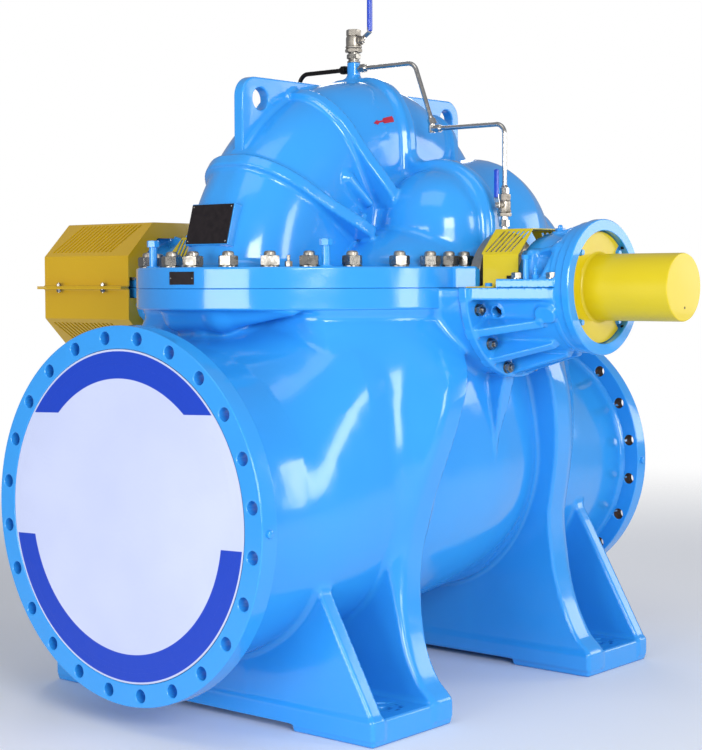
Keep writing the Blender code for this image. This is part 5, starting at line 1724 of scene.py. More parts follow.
@dataclass
class BearingHousing:
    """Bearing bracket, cap, end ring and seal parts of one end of the shaft."""

    tag: str
    side: int
    cell: float = 0.0036
    start_x: float = 0.505
    rim_thickness: float = 0.024
    rim_radius: float = 0.225
    body_radius: float = 0.158
    end_x: float = 0.735
    end_flange: float = 0.012
    end_flange_radius: float = 0.158
    ledge_depth: float = 0.030
    ledge_half_widths: tuple[float, float] = (0.222, 0.158)
    cap_x: float = 0.600
    cap_ledge_x: float = 0.590
    cap_ledge_height: float = 0.021
    cap_radius: float = 0.128
    well_radius: float = 0.122
    fin_angles: tuple[float, ...] = (31.0, 57.0, 82.0, 98.0, 123.0, 149.0)
    fin_half_thickness: float = 0.0115
    fin_root_radius: float = 0.219
    fin_end_x: float = 0.694
    fin_end_radius: float = 0.170
    cap_fin_angles: tuple[float, ...] = (40.0, 90.0, 140.0)
    # (y, height) of the bolts through the rim, beside the shaft on the suction side
    rim_bolts: tuple[tuple[float, float], ...] = ((0.177, 0.988), (0.127, 0.904), (0.056, 0.844))
    drain_place: tuple[float, float] = (0.565, 21.7)
    oval_place: tuple[float, float] = (0.707, 23.0)
    cap_bolts: tuple[float, ...] = (0.637, 0.722)
    cap_bolt_y: float = 0.168
    ring_step_x: float = 0.7575
    ring_end_x: float = 0.7775
    ring_step_radius: float = 0.1585
    ring_radius: float = 0.1640
    ring_bore_radius: float = 0.1365
    ring_seat_x: float = 0.7530
    gland_x: float = 0.470
    gland_radius: float = 0.138
    shaft_radius: float = 0.045
    cap_flange: float = 0.018
    cap_flange_radius: float = 0.153
    cap_fin_half_thickness: float = 0.007
    rim_bolt: Bolt = Bolt(0.024, 0.0024, 0.0145, rod(0.015, 0, 0.0024),
                          stud(0.0078, 0.012, 0.0185, 0.0058, 0.0200), end_sides=18)
    cap_bolt: Bolt = Bolt(0.024, 0.0025, 0.0155, rod(0.0145, 0, 0.0025),
                          chamfer_ends=(False, True))
    jack_screw: Bolt = Bolt(0.019, 0.046, 0.057, rod(0.0075, -0.004, 0.048), seat_sides=18)
    grease_nipple: Bolt = Bolt(0.014, -0.001, 0.010, (), [
        (0, 0.009), (0.0045, 0.009), (0.0045, 0.018), (0.0065, 0.020), (0.0065, 0.0235),
        (0.003, 0.029), (0.0025, 0.033), (0, 0.034)])
    top_plug: Bolt = Bolt(0.022, 0.0, 0.009, (), stud(0.006, 0.008, 0.014, 0.003, 0.017))
    gland_bolt: Bolt = Bolt(0.022, 0.0002, 0.012, (), stud(0.007, 0.01, 0.021, 0.005, 0.023))
    gland_bolt_circle: float = 0.112
    ring_bolt_circle: float = 0.134

    def ledge_width(self, x: Array) -> Array:
        """Half width of a ledge that narrows towards the end ring."""
        return np.interp(x, (self.start_x, self.end_x), self.ledge_half_widths)

    def bracket(self, x: Array, y: Array, z: Array) -> Array:
        """Distance to the lower half of the housing."""
        x = x * self.side
        up = z - SHAFT_HEIGHT
        reach = np.hypot(y, up)
        long = between(x, self.start_x, self.end_x)
        drum = overlap(reach - self.body_radius, long, 0.003)
        rim = overlap(reach - self.rim_radius,
                      between(x, self.start_x, self.start_x + self.rim_thickness), 0.0045)
        flange = overlap(reach - self.end_flange_radius,
                         between(x, self.end_x - self.end_flange, self.end_x), 0.003)
        body = join(drum, rim, 0.012)
        body = join(body, flange, 0.006)
        slope = (self.fin_root_radius - self.fin_end_radius) / (
            self.fin_end_x - self.start_x - self.rim_thickness)
        crest = reach - (self.fin_end_radius + slope * (self.fin_end_x - x))
        crest = crest / math.hypot(1.0, slope)
        for angle in self.fin_angles:
            fin = radial_sheet(y, up, angle + 180.0, self.fin_half_thickness)
            fin = overlap(fin, crest, 0.0045)
            fin = overlap(fin, np.maximum(x - self.fin_end_x, self.start_x - x), 0.004)
            body = join(body, fin, 0.009)
        turn = math.radians(self.oval_place[1])
        for way in (-1, 1):
            out_y, out_z = way * math.cos(turn), -math.sin(turn)
            across = y * out_z - up * out_y
            along = np.maximum(np.abs(x - self.oval_place[0]) - 0.008, 0.0)
            boss = np.hypot(along, across) - 0.021
            boss = overlap(boss, y * out_y + up * out_z - 0.169, 0.004)
            boss = np.maximum(boss, 0.1 - reach)
            body = join(body, boss, 0.010)
            turn_hole = math.radians(self.drain_place[1])
            hole_y, hole_z = way * math.cos(turn_hole), -math.sin(turn_hole)
            round_hole = np.hypot(x - self.drain_place[0], y * hole_z - up * hole_y)
            collar = overlap(round_hole - 0.018, y * hole_y + up * hole_z - 0.1605, 0.002)
            body = join(body, np.maximum(collar, 0.1 - reach), 0.006)
            drilled = np.maximum(round_hole - 0.0130, 0.1 - (y * hole_y + up * hole_z))
            body = overlap(body, -drilled, 0.0015)
        shelf = overlap(np.abs(y) - self.ledge_width(x),
                        np.maximum(-up - self.ledge_depth, long), 0.004)
        body = join(body, shelf, 0.010)
        well = np.maximum(reach - self.well_radius, x - self.cap_x)
        body = overlap(body, -well, 0.003)
        return overlap(body, up + JOINT_GAP / 2, 0.0004)

    def cap(self, x: Array, y: Array, z: Array) -> Array:
        """Distance to the upper half of the housing."""
        x = x * self.side
        up = z - SHAFT_HEIGHT
        reach = np.hypot(y, up)
        long = between(x, self.cap_x, self.end_x)
        waist = 0.006 * np.cos(np.clip((x - self.cap_x - 0.045) / 0.05, -1.0, 1.0) * math.pi)
        drum = overlap(reach - self.cap_radius - waist * 0.5, long, 0.014)
        flange = overlap(reach - self.cap_flange_radius,
                         between(x, self.end_x - self.cap_flange, self.end_x), 0.003)
        body = join(drum, flange, 0.012)
        ends = np.maximum(self.cap_ledge_x - x, x - self.end_x)
        shelf = overlap(np.abs(y) - self.ledge_width(x),
                        np.maximum(up - self.cap_ledge_height, ends), 0.003)
        body = join(body, shelf, 0.012)
        crest = reach - (0.129 + 0.024 * np.clip((x - 0.625) / 0.085, 0.0, 1.0))
        crest = np.maximum(crest, long + 0.004)
        for angle in self.cap_fin_angles:
            fin = overlap(radial_sheet(y, up, angle, self.cap_fin_half_thickness), crest, 0.004)
            body = join(body, fin, 0.010)
        for way in (-1, 1):
            lobe = capsule_distance(x, y * way, z, (0.640, 0.126, SHAFT_HEIGHT + 0.02),
                                    (0.640, 0.108, SHAFT_HEIGHT + 0.078), 0.015)
            body = join(body, lobe, 0.008)
            slant = capsule_distance(x, y * way, z, (0.700, 0.150, SHAFT_HEIGHT + 0.018),
                                     (0.716, 0.105, SHAFT_HEIGHT + 0.098), 0.010)
            body = join(body, slant, 0.010)
        pad = np.maximum(np.hypot(x - 0.650, y) - 0.020, 0.05 - up)
        body = join(body, overlap(pad, up - self.cap_radius - 0.009, 0.003), 0.006)
        return overlap(body, -up + JOINT_GAP / 2, 0.0004)

    def castings(self) -> dict[str, bpy.types.Object]:
        """Bracket and cap."""
        made = {}
        for part, distance, start, half_width, low, high in (
                ("bracket", self.bracket, 0.497, 0.235, 0.808, 1.050),
                ("cap", self.cap, 0.592, 0.205, 1.034, 1.206)):
            near, far = sorted((self.side * start, self.side * 0.743))
            made[part] = cast_mesh(f"{part}_casting_{self.tag}", distance, (near, -half_width, low),
                                   (far, half_width, high), self.cell)[0]
        return made

    def at(self, x: float, y: float, z: float, direction: Point = (1, 0, 0)) -> Matrix:
        """Placing at a point of this end of the pump."""
        ahead = (direction[0] * self.side, direction[1], direction[2])
        return axis_place((x * self.side, y, z), ahead)

    def ring(self) -> list[bpy.types.Object]:
        """End ring with its radial screws."""
        start = self.end_x + JOINT_GAP
        bore = self.ring_bore_radius
        rim = self.ring_radius
        end = self.ring_end_x
        step = self.ring_step_radius
        step_x = self.ring_step_x
        form = bmesh.new()
        add_turned(form, [(0.0, self.ring_seat_x), (bore, self.ring_seat_x), (bore, end - 0.0015),
                          (bore + 0.0015, end), (rim - 0.002, end), (rim, end - 0.002),
                          (rim, step_x + 0.002), (rim - 0.002, step_x), (step + 0.001, step_x),
                          (step, step_x - 0.001), (step, start + 0.001), (step - 0.001, start),
                          (0.0, start)], self.at(0, 0, SHAFT_HEIGHT), 112)
        screws = bmesh.new()
        for turn in BOLT_TURNS:
            y, z = around(self.ring_bolt_circle, turn)
            place = self.at((step_x + end) / 2, y, SHAFT_HEIGHT + z, (0.0, y, z))
            add_turned(screws, [(0, 0), (0.003, 0), (0.0042, 0.001), (0.0042, 0.0222),
                                (0.0022, 0.0226), (0.0018, 0.0210), (0, 0.0210)], place, 14)
        return [finished(f"end_ring_{self.tag}", form, Coat.BLUE),
                finished(f"ring_screws_{self.tag}", screws, Coat.DARK_STEEL_AND_PIPE_SHADE)]

    def fasteners(self) -> dict[str, list[bpy.types.Object]]:
        """Bolts of the rim and of the cap, discs of painted shade in the drain holes, jacking
        screws, grease nipples.
        """
        rim, drain_shade_discs, heads, painted = [bmesh.new() for _ in range(4)]
        top = SHAFT_HEIGHT + self.cap_ledge_height
        upright = (0, 0, 1)
        drain_x, drain_lean = self.drain_place
        for way in (-1, 1):
            for number, (y, z) in enumerate(self.rim_bolts):
                place = self.at(self.start_x + self.rim_thickness, y * way, z)
                self.rim_bolt.add(rim, place @ Matrix.Rotation(0.5 + number, 4, "Z"))
            # A black disc set deep in each drain hole is painted shade.
            y, z = around(0.130, -drain_lean)
            place = self.at(drain_x, y * way, SHAFT_HEIGHT + z, (0.0, y * way, z))
            add_turned(drain_shade_discs, rod(0.0135, 0.0, 0.012), place, 24)
            for number, x in enumerate(self.cap_bolts):
                y = self.cap_bolt_y - 0.25 * (x - self.cap_bolts[0])
                place = self.at(x, y * way, top, upright)
                self.cap_bolt.add(heads, place @ Matrix.Rotation(0.3 + number, 4, "Z"))
            self.jack_screw.add(painted, self.at(0.662, way * 0.166, top, upright))
            self.grease_nipple.add(painted, self.at(0.684, way * 0.160, top, upright))
        crown = SHAFT_HEIGHT + self.cap_radius + 0.008
        self.top_plug.add(painted, self.at(0.650, 0.0, crown, upright))
        return {"bracket": [finished(f"rim_bolts_{self.tag}", rim, Coat.ZINC, 30),
                            finished(f"drain_plugs_{self.tag}", drain_shade_discs, Coat.BRACKET_DRAIN_SHADE)],
                "cap": [finished(f"cap_bolts_{self.tag}", heads, Coat.ZINC, 30),
                        finished(f"painted_screws_{self.tag}", painted, Coat.BLUE, 30)]}

    def seal(self) -> list[bpy.types.Object]:
        """Seal gland with its studs, as bare cast stainless steel."""
        bore = self.shaft_radius + 0.0006
        edge = self.gland_radius
        form = bmesh.new()
        add_turned(form, [(bore, 0.0003), (edge - 0.002, 0.0003), (edge, 0.0025), (edge, 0.028),
                          (edge - 0.002, 0.030), (0.088, 0.030), (0.082, 0.033), (0.080, 0.036),
                          (0.080, 0.050), (0.076, 0.055), (0.060, 0.055), (bore, 0.055),
                          (bore, 0.0003)], self.at(self.gland_x, 0, SHAFT_HEIGHT), 72)
        studs = bmesh.new()
        for turn in BOLT_TURNS:
            y, z = around(self.gland_bolt_circle, turn)
            self.gland_bolt.add(studs, self.at(self.gland_x + 0.030, y, SHAFT_HEIGHT + z))
        return [finished(f"gland_{self.tag}", form, Coat.CAST_STAINLESS),
                finished(f"gland_studs_{self.tag}", studs, Coat.ZINC, 30)]

    def shaft(self) -> list[bpy.types.Object]:
        """Shaft between the seal and the bearing, with its oil thrower."""
        form = bmesh.new()
        place = self.at(0, 0, SHAFT_HEIGHT)
        inner = self.shaft_radius - 0.001
        add_turned(form, rod(self.shaft_radius, 0.4705, 0.5996), place)
        add_turned(form, [(inner, 0.560), (0.062, 0.560), (0.064, 0.562), (0.064, 0.570),
                          (0.055, 0.574), (0.055, 0.586), (0.053, 0.588), (inner, 0.588),
                          (inner, 0.560)], place)
        return [finished(f"shaft_piece_{self.tag}", form, Coat.STAINLESS)]


@dataclass
class TubeGuard:
    """Tube welded to a notched disc, over the free shaft end at the right."""

    disc_x: float = 0.7533
    disc_thickness: float = 0.008
    disc_radius: float = 0.135
    tube_radius: float = 0.0805
    end_x: float = 0.992
    bolt_radius: float = 0.118
    notch_half_width: float = 0.0085
    bolt: Bolt = Bolt(0.013, 0.009, 0.016, rod(0.0078, 0, 0.0095), seat_sides=20)

    def disc_outline(self) -> Outline:
        """Outline of the disc with its open notches."""
        half = self.notch_half_width
        edge = math.sqrt(self.disc_radius ** 2 - half ** 2)
        span = math.degrees(math.asin(half / self.disc_radius))
        notch = [(edge, -half)]
        for step in range(11):
            across, deep = around(half, 18.0 * step)
            notch.append((self.bolt_radius - deep, -across))
        notch.append((edge, half))
        points = []
        for centre in BOLT_TURNS:
            along, up = around(1.0, centre)
            points += [(out * along - across * up, out * up + across * along)
                       for out, across in notch]
            points += [around(self.disc_radius, turn) for turn
                       in np.arange(centre + span + 1.5, centre + 90.0 - span - 1.0, 2.5)]
        return points

    def build(self) -> list[bpy.types.Object]:
        """Disc, tube, bolts and a dark disc of painted shade for the drain hole."""
        place = across_shaft(self.disc_x + self.disc_thickness / 2)
        form = outline_form([self.disc_outline()], self.disc_thickness, place, 0.001)
        radius = self.tube_radius
        start = self.disc_x + self.disc_thickness
        ahead = (1, 0, 0)
        add_turned(form, [(0.02, start - 0.003), (radius + 0.006, start - 0.003),
                          (radius + 0.006, start + 0.0005), (radius + 0.003, start + 0.002),
                          (radius + 0.001, start + 0.0045), (radius, start + 0.008),
                          (radius, self.end_x - 0.003), (radius - 0.001, self.end_x - 0.0008),
                          (radius - 0.003, self.end_x), (0.0, self.end_x)],
                   axis_place((0, 0, SHAFT_HEIGHT), ahead), 96)
        heads = bmesh.new()
        for angle in BOLT_TURNS:
            y, z = around(self.bolt_radius, angle)
            self.bolt.add(heads, axis_place((self.disc_x, y, SHAFT_HEIGHT + z), ahead))
        # A dark disc on the tube's closed end is painted shade for its small drain hole.
        hole = bmesh.new()
        add_turned(hole, rod(0.0032, -0.001, 0.0001),
                   axis_place((self.end_x, 0.004, SHAFT_HEIGHT - 0.048), ahead), 16)
        return [finished("tube_guard", form, Coat.YELLOW, 35),
                finished("tube_guard_bolts", heads, Coat.BLUE, 30),
                finished("tube_guard_drain_shade", hole, Coat.IRON_AND_TUBE_DRAIN_SHADE)]


@dataclass(frozen=True)
class Slots:
    """Row of slanted slots in a flat sheet, with the same row on its other half."""

    count: int = 6
    start: float = 0.006
    pitch: float = 0.0142
    lean: float = 0.021
    width: float = 0.0075

    def loops(self, edge: float, low: float, high: float, total: float) -> list[Outline]:
        """Outlines of the slots.

        Args:
            edge: Edge of the sheet, along its bends, that the row starts from.
            low: Start of each slot across the bends.
            high: End of each slot across the bends.
            total: Width of the whole sheet across the bends.

        Returns:
            One outline for each slot.
        """
        loops = []
        for number in range(self.count):
            x = edge + self.start + number * self.pitch
            slot = [(x, low), (x + self.width, low), (x + self.lean + self.width, high),
                    (x + self.lean, high)]
            loops += [slot, [(across, total - along) for across, along in slot][::-1]]
        return loops


@dataclass
class GlandGuard:
    """Bent and slotted sheet over a seal, with a foot on each ledge of the bracket."""

    tag: str
    side: int
    start_x: float = 0.512
    end_x: float = 0.622
    foot_end_x: float = 0.588
    wall_start_x: float = 0.519
    foot_start_x: float = 0.509
    half_width: float = 0.142
    foot_reach: float = 0.200
    shoulder: float = 1.122
    top_half_width: float = 0.078
    top: float = 1.186
    sheet: float = 0.0025
    slots: Slots = Slots()
    wall_clearance: float = 0.024
    bend_radius: float = 0.005
    bolt_place: tuple[float, float] = (0.560, 0.176)
    bolt: Bolt = Bolt(0.015, 0.0016, 0.0085, rod(0.0095, 0, 0.0016), seat_sides=20,
                      chamfer_ends=(False, True))

    def build(self) -> list[bpy.types.Object]:
        """Sheet and its foot bolts."""
        foot = SHAFT_HEIGHT + JOINT_GAP + self.sheet
        half = [(-self.foot_reach, foot), (-self.half_width, foot),
                (-self.half_width, self.shoulder), (-self.top_half_width, self.top)]
        bends = half + [(-y, z) for y, z in reversed(half)]
        total = flat_length(bends, self.bend_radius)
        foot_length = self.foot_reach - self.half_width
        bend = foot_length + self.shoulder - foot
        slant = math.hypot(self.half_width - self.top_half_width, self.top - self.shoulder)
        step = bend - 0.003
        lift = foot_length + self.wall_clearance
        edges = [(self.foot_start_x, 0.0), (self.foot_end_x, 0.0),
                 (self.foot_end_x, lift), (self.end_x, lift), (self.end_x, total - lift),
                 (self.foot_end_x, total - lift), (self.foot_end_x, total),
                 (self.foot_start_x, total), (self.foot_start_x, total - foot_length + 0.004),
                 (self.wall_start_x, total - foot_length), (self.wall_start_x, total - step),
                 (self.start_x, total - step - 0.005), (self.start_x, step + 0.005),
                 (self.wall_start_x, step), (self.wall_start_x, foot_length),
                 (self.foot_start_x, foot_length - 0.004)]
        slots = self.slots.loops(self.start_x, bend + 0.007, bend + slant - 0.010, total)
        form = bent_sheet([edges, *slots], bends, self.sheet, self.bend_radius)
        if self.side < 0:
            bmesh.ops.scale(form, vec=(-1, 1, 1), verts=form.verts)
            bmesh.ops.reverse_faces(form, faces=form.faces[:])
        heads = bmesh.new()
        x, y = self.bolt_place
        for way in (-1, 1):
            self.bolt.add(heads, Matrix.Translation((self.side * x, way * y, foot)))
        return [finished(f"gland_guard_sheet_{self.tag}", form, Coat.YELLOW, 25),
                finished(f"gland_guard_bolts_{self.tag}", heads, Coat.BLUE, 30)]


@dataclass
class EndGuard:
    """Eight-sided guard over the driven shaft end at the left."""

    start_x: float = -0.700
    end_x: float = -1.070
    mounting_x: float = -0.7778
    half_size: float = 0.190
    corner: float = 0.092
    sheet: float = 0.004
    lip: float = 0.030
    slots: Slots = Slots(15, 0.023, 0.0179, 0.050, 0.0085)
    frame_width: float = 0.042
    frame_base: float = 0.030
    bore_radius: float = 0.070
    bend_radius: float = 0.006
    bolt_places: tuple[float, float] = (-0.988, -0.793)
    bolt: Bolt = Bolt(0.013, 0.0015, 0.008, rod(0.008, 0, 0.0015), [
        (0, 0.007), (0.004, 0.007), (0.004, 0.0105), (0, 0.0110)], 20, 12)

    def section(self, up: int) -> Outline:
        """Bends of one half shell, seen along the shaft."""
        base = JOINT_GAP / 2 + self.sheet
        half = [(-self.half_size - self.lip, base), (-self.half_size, base),
                (-self.half_size, self.corner), (-self.corner, self.half_size)]
        whole = half + [(-y, z) for y, z in reversed(half)]
        return [(y, SHAFT_HEIGHT + up * z) for y, z in whole]

    def inner(self, inward: float) -> tuple[float, float]:
        """Half size and corner of an outline that lies inside the sheet."""
        depth = self.sheet + inward
        return self.half_size - depth, self.corner - depth * math.tan(math.radians(22.5))

    def shell(self, name: str, up: int) -> bpy.types.Object:
        """One half shell with its slots and the frame across its open end.

        Args:
            name: Name of the piece.
            up: 1 for the upper half, -1 for the lower half.

        Returns:
            The piece.
        """
        bends = self.section(up)
        total = flat_length(bends, self.bend_radius)
        edges = [(self.end_x, 0.0), (self.start_x, 0.0), (self.start_x, total),
                 (self.end_x, total)]
        slant = (self.half_size - self.corner) * math.sqrt(2.0)
        first = self.lip + self.corner - JOINT_GAP / 2 - self.sheet
        slots = self.slots.loops(self.end_x, first + 0.014, first + slant - 0.012, total)
        form = bent_sheet([edges, *slots], bends, self.sheet, self.bend_radius)
        outline = []
        for inward, way in ((0.0, 1), (self.frame_width, -1)):
            size, cut = self.inner(inward)
            outline += [(size, self.frame_base), (size, cut), (cut, size), (-cut, size),
                        (-size, cut), (-size, self.frame_base)][::way]
        place = across_shaft(self.start_x - self.sheet / 2, up=up)
        frame_form = outline_form([outline], self.sheet, place)
        mesh = bpy.data.meshes.new("frame")
        frame_form.to_mesh(mesh)
        frame_form.free()
        form.from_mesh(mesh)
        bpy.data.meshes.remove(mesh)
        return finished(name, form, Coat.OLD_YELLOW, 25)

    def plates(self) -> list[bpy.types.Object]:
        """Closed end and the plate that carries the guard."""
        size, cut = self.inner(0.0004)
        half = [(size, -cut), (size, cut), (cut, size), (-cut, size)]
        corners = half + [(-y, -z) for y, z in half]
        made = []
        for name, x, holes in (
                ("guard_end_plate", self.end_x + self.sheet / 2, []),
                ("guard_mounting_plate", self.mounting_x - self.sheet / 2,
                 [circle((0, 0), self.bore_radius, 64)])):
            form = outline_form([corners, *holes], self.sheet, across_shaft(x), 0.0008)
            made.append(finished(name, form, Coat.OLD_YELLOW))
        return made

    def bolts(self) -> bpy.types.Object:
        """Bolts along the joint, with their nuts."""
        form = bmesh.new()
        for x in self.bolt_places:
            for way in (-1, 1):
                y = way * (self.half_size + self.lip / 2)
                for up in (-1, 1):
                    z = SHAFT_HEIGHT + up * (JOINT_GAP / 2 + self.sheet)
                    self.bolt.add(form, axis_place((x, y, z), (0, 0, up)))
        return finished("end_guard_bolts", form, Coat.ZINC, 30)


@dataclass
class BallValve:
    """Small ball valve with a cranked and dipped lever."""

    name: str
    place: tuple[float, float]
    bottom: float
    top: float
    radius: float
    stem: tuple[float, float, float]
    lever_length: float
    crank: float
    stem_length: float = 0.012
    blade: float = 0.0022
    blade_gap: float = 0.0015
    # Profile of the body below its upper hexagon, as shares of the radius and of the height
    profile: tuple[tuple[float, float], ...] = (
        (0, 0.15), (0.86, 0.15), (0.86, 0.17), (1.02, 0.19), (1.06, 0.22), (1.06, 0.26),
        (0.98, 0.29), (0.99, 0.45), (0.99, 0.62), (0.93, 0.70), (0.80, 0.74), (0, 0.74))

    @property
    def middle(self) -> Vector:
        """Middle of the body."""
        return Vector((*self.place, (self.bottom + self.top) / 2))

    def body(self) -> bpy.types.Object:
        """Body with a hexagon at each mouth and the stem's boss."""
        form = bmesh.new()
        height = self.top - self.bottom
        place = Matrix.Translation((*self.place, self.bottom))
        wide = self.radius
        flats = wide * 1.76
        add_hexagon(form, flats * 1.1, 0.0, height * 0.17, place)
        add_turned(form, [(wide * out, height * up) for out, up in self.profile], place, 36)
        add_hexagon(form, flats * 0.95, height * 0.72, height, place)
        add_turned(form, [(0, height - 0.004), (wide * 0.62, height - 0.004),
                          (wide * 0.62, height + 0.0004), (wide * 0.52, height + 0.0004),
                          (wide * 0.52, height + 0.0002), (0, height + 0.0002)], place, 24)
        place = axis_place(self.middle, self.stem)
        reach = wide + self.stem_length
        add_turned(form, [(0, 0), (wide * 0.62, 0), (wide * 0.60, reach * 0.78),
                          (wide * 0.50, reach * 0.80), (wide * 0.50, reach), (0, reach)], place, 28)
        add_hexagon(form, wide * 0.92, reach * 0.70, reach * 0.90, place)
        return finished(f"{self.name}_body", form, Coat.CAST_STAINLESS, 32)

    def lever(self) -> list[bpy.types.Object]:
        """Steel blade with its nut, and the dipped grip."""
        stem = Vector(self.stem)
        up = Vector((0, 0, 1))
        place = Matrix((up.cross(stem), up, stem)).transposed().to_4x4()
        place.translation = self.middle + stem * (self.radius + self.stem_length + 0.0003)
        size = self.radius
        wide = size * 0.42
        length = self.lever_length
        raised = self.blade_gap + self.crank
        line = rounded([(self.blade_gap, -wide * 0.9), (self.blade_gap, length * 0.07),
                        (raised, length * 0.19), (raised, length * 0.30)], 0.005, 4)
        form = bmesh.new()
        rows = []
        for before, (out, along), after in zip([line[0], *line], line, [*line[1:], line[-1]]):
            way = Vector((after[0] - before[0], after[1] - before[1])).normalized()
            normal = Vector((way.y, -way.x)) * self.blade / 2
            middle = out + self.blade / 2
            spots = [(edge * wide, along + shift * normal.y, middle + shift * normal.x)
                     for edge, shift in ((-1, -1), (1, -1), (1, 1), (-1, 1))]
            rows.append([form.verts.new(place @ Vector(spot)) for spot in spots])
        bridge(form, rows)
        nut = Bolt(size * 0.62, 0.0004 + self.blade, 0.0049 + self.blade,
                   rod(size * 0.45, 0.0, 0.0016),
                   [(0, 0.003), (size * 0.17, 0.003), (size * 0.17, 0.0085), (0, 0.0090)])
        nut.add(form, place)
        grip = bmesh.new()
        out = raised + self.blade / 2
        half = size * 0.40
        add_block(grip, (-half, length * 0.20, out - half * 0.62),
                  (half, length + 0.0010, out + half * 0.62), half * 0.55, place, 4)
        return [finished(f"{self.name}_blade", form, Coat.STAINLESS, 32),
                finished(f"{self.name}_grip", grip, Coat.VINYL, 60)]


@dataclass
class FlushLine:
    """Pipe from the vent neck to one seal, with fittings and a ball valve."""

    tag: str
    side: int
    vent_x: float = -0.010
    neck_radius: float = 0.0175
    take_off: float = 1.627
    fitting_length: float = 0.030
    pipe_radius: float = 0.006
    shoulder_x: float = 0.196
    elbow_x: float = 0.254
    elbow_z: float = 1.452
    elbow_arm: float = 0.032
    elbow_radius: float = 0.0085
    flats: float = 0.019
    line_x: float = 0.483
    valve_bottom: float = 1.220
    valve_top: float = 1.276
    nut_length: float = 0.022
    gland_top: float = 1.180
    spigot_length: float = 0.014
    upper_bend: float = 0.030
    lower_bend: float = 0.026

    def nut(self, form: bmesh.types.BMesh, start: Point, end: Point, flats: float) -> None:
        """Adds a tube nut with a tapered mouth between two points."""
        span = Vector(end) - Vector(start)
        length = span.length
        mouth = [(0, length * 0.7), (flats * 0.45, length * 0.7), (flats * 0.45, length * 0.76),
                 (flats * 0.38, length * 0.95), (self.pipe_radius + 0.001, length), (0, length)]
        Bolt(flats, 0.0, length * 0.72, (), mouth, end_sides=24).add(form, axis_place(start, span))

    def pipe(self, name: str, corners: Sequence[Point], bend: float,
             coat: Coat) -> bpy.types.Object:
        """Pipe bent at its corners."""
        form = bmesh.new()
        add_tube(form, rounded(corners, bend, 10), self.pipe_radius, 20)
        return finished(f"{name}_{self.tag}", form, coat, 40)

    def build(self) -> dict[str, bpy.types.Object]:
        """Pieces of the line, by the frame's node that each stands for."""
        side = self.side
        bright = Coat.STAINLESS
        # On the left, the fitting and the upper pipe are darkened as painted shade.
        upper = bright if side > 0 else Coat.DARK_STEEL_AND_PIPE_SHADE
        ahead = Vector((side, 0, 0))
        start = Vector((self.vent_x, 0, self.take_off)) + ahead * (self.neck_radius + 0.0003)
        end = start + ahead * self.fitting_length
        reach = self.fitting_length / 2 - 0.004
        made = {}
        form = bmesh.new()
        add_turned(form, rod(0.0075, 0, reach), axis_place(start, ahead), 20)
        self.nut(form, start + ahead * (reach - 0.003), end, 0.021)
        made["flush_fitting"] = finished(f"neck_fitting_{self.tag}", form, upper, 30)
        heart = Vector((side * self.elbow_x, 0, self.elbow_z))
        top = heart + Vector((0, 0, self.flats))
        shoulder = Vector((side * self.shoulder_x, 0, self.take_off))
        made["flush_pipe_upper"] = self.pipe("upper_pipe", [end, shoulder, top], self.upper_bend,
                                             upper)
        form = bmesh.new()
        lean = (top - shoulder).normalized()
        add_tube(form, [heart - Vector((0, 0, 0.008)), heart, top - lean * 0.004],
                 self.elbow_radius, 20)
        self.nut(form, top + lean * 0.008, top - lean * 0.014, self.flats)
        arm = heart + ahead * self.elbow_arm
        add_tube(form, [heart, arm - ahead * 0.004], self.elbow_radius, 20)
        self.nut(form, heart + ahead * 0.013, arm, self.flats)
        add_hexagon(form, 0.017, -0.010, 0.010, Matrix.Translation(heart))
        made["flush_elbow"] = finished(f"elbow_{self.tag}", form, bright, 30)
        base = Vector((side * self.line_x, 0, self.valve_top))
        nut_top = base + Vector((0, 0, self.nut_length))
        corners = [arm, (base.x, 0, self.elbow_z), nut_top - Vector((0, 0, 0.001))]
        made["flush_pipe_lower"] = self.pipe("lower_pipe", corners, self.lower_bend, bright)
        form = bmesh.new()
        self.nut(form, base + Vector((0, 0, 0.0006)), nut_top, 0.020)
        made["flush_nut"] = finished(f"tube_nut_{self.tag}", form, bright, 30)
        form = bmesh.new()
        spigot = self.spigot_length
        height = self.valve_bottom - self.gland_top - 0.0003
        union = Bolt(0.022, spigot, height - 0.008,
                     [(0, 0.0003), (0.011, 0.0003), (0.011, 0.004), (0.0085, 0.006),
                      (0.0085, spigot + 0.002), (0, spigot + 0.002)],
                     rod(0.0095, height - 0.010, height), end_sides=24)
        union.add(form, Matrix.Translation((base.x, 0, self.gland_top)))
        made["flush_union"] = finished(f"union_{self.tag}", form, bright, 30)
        return made


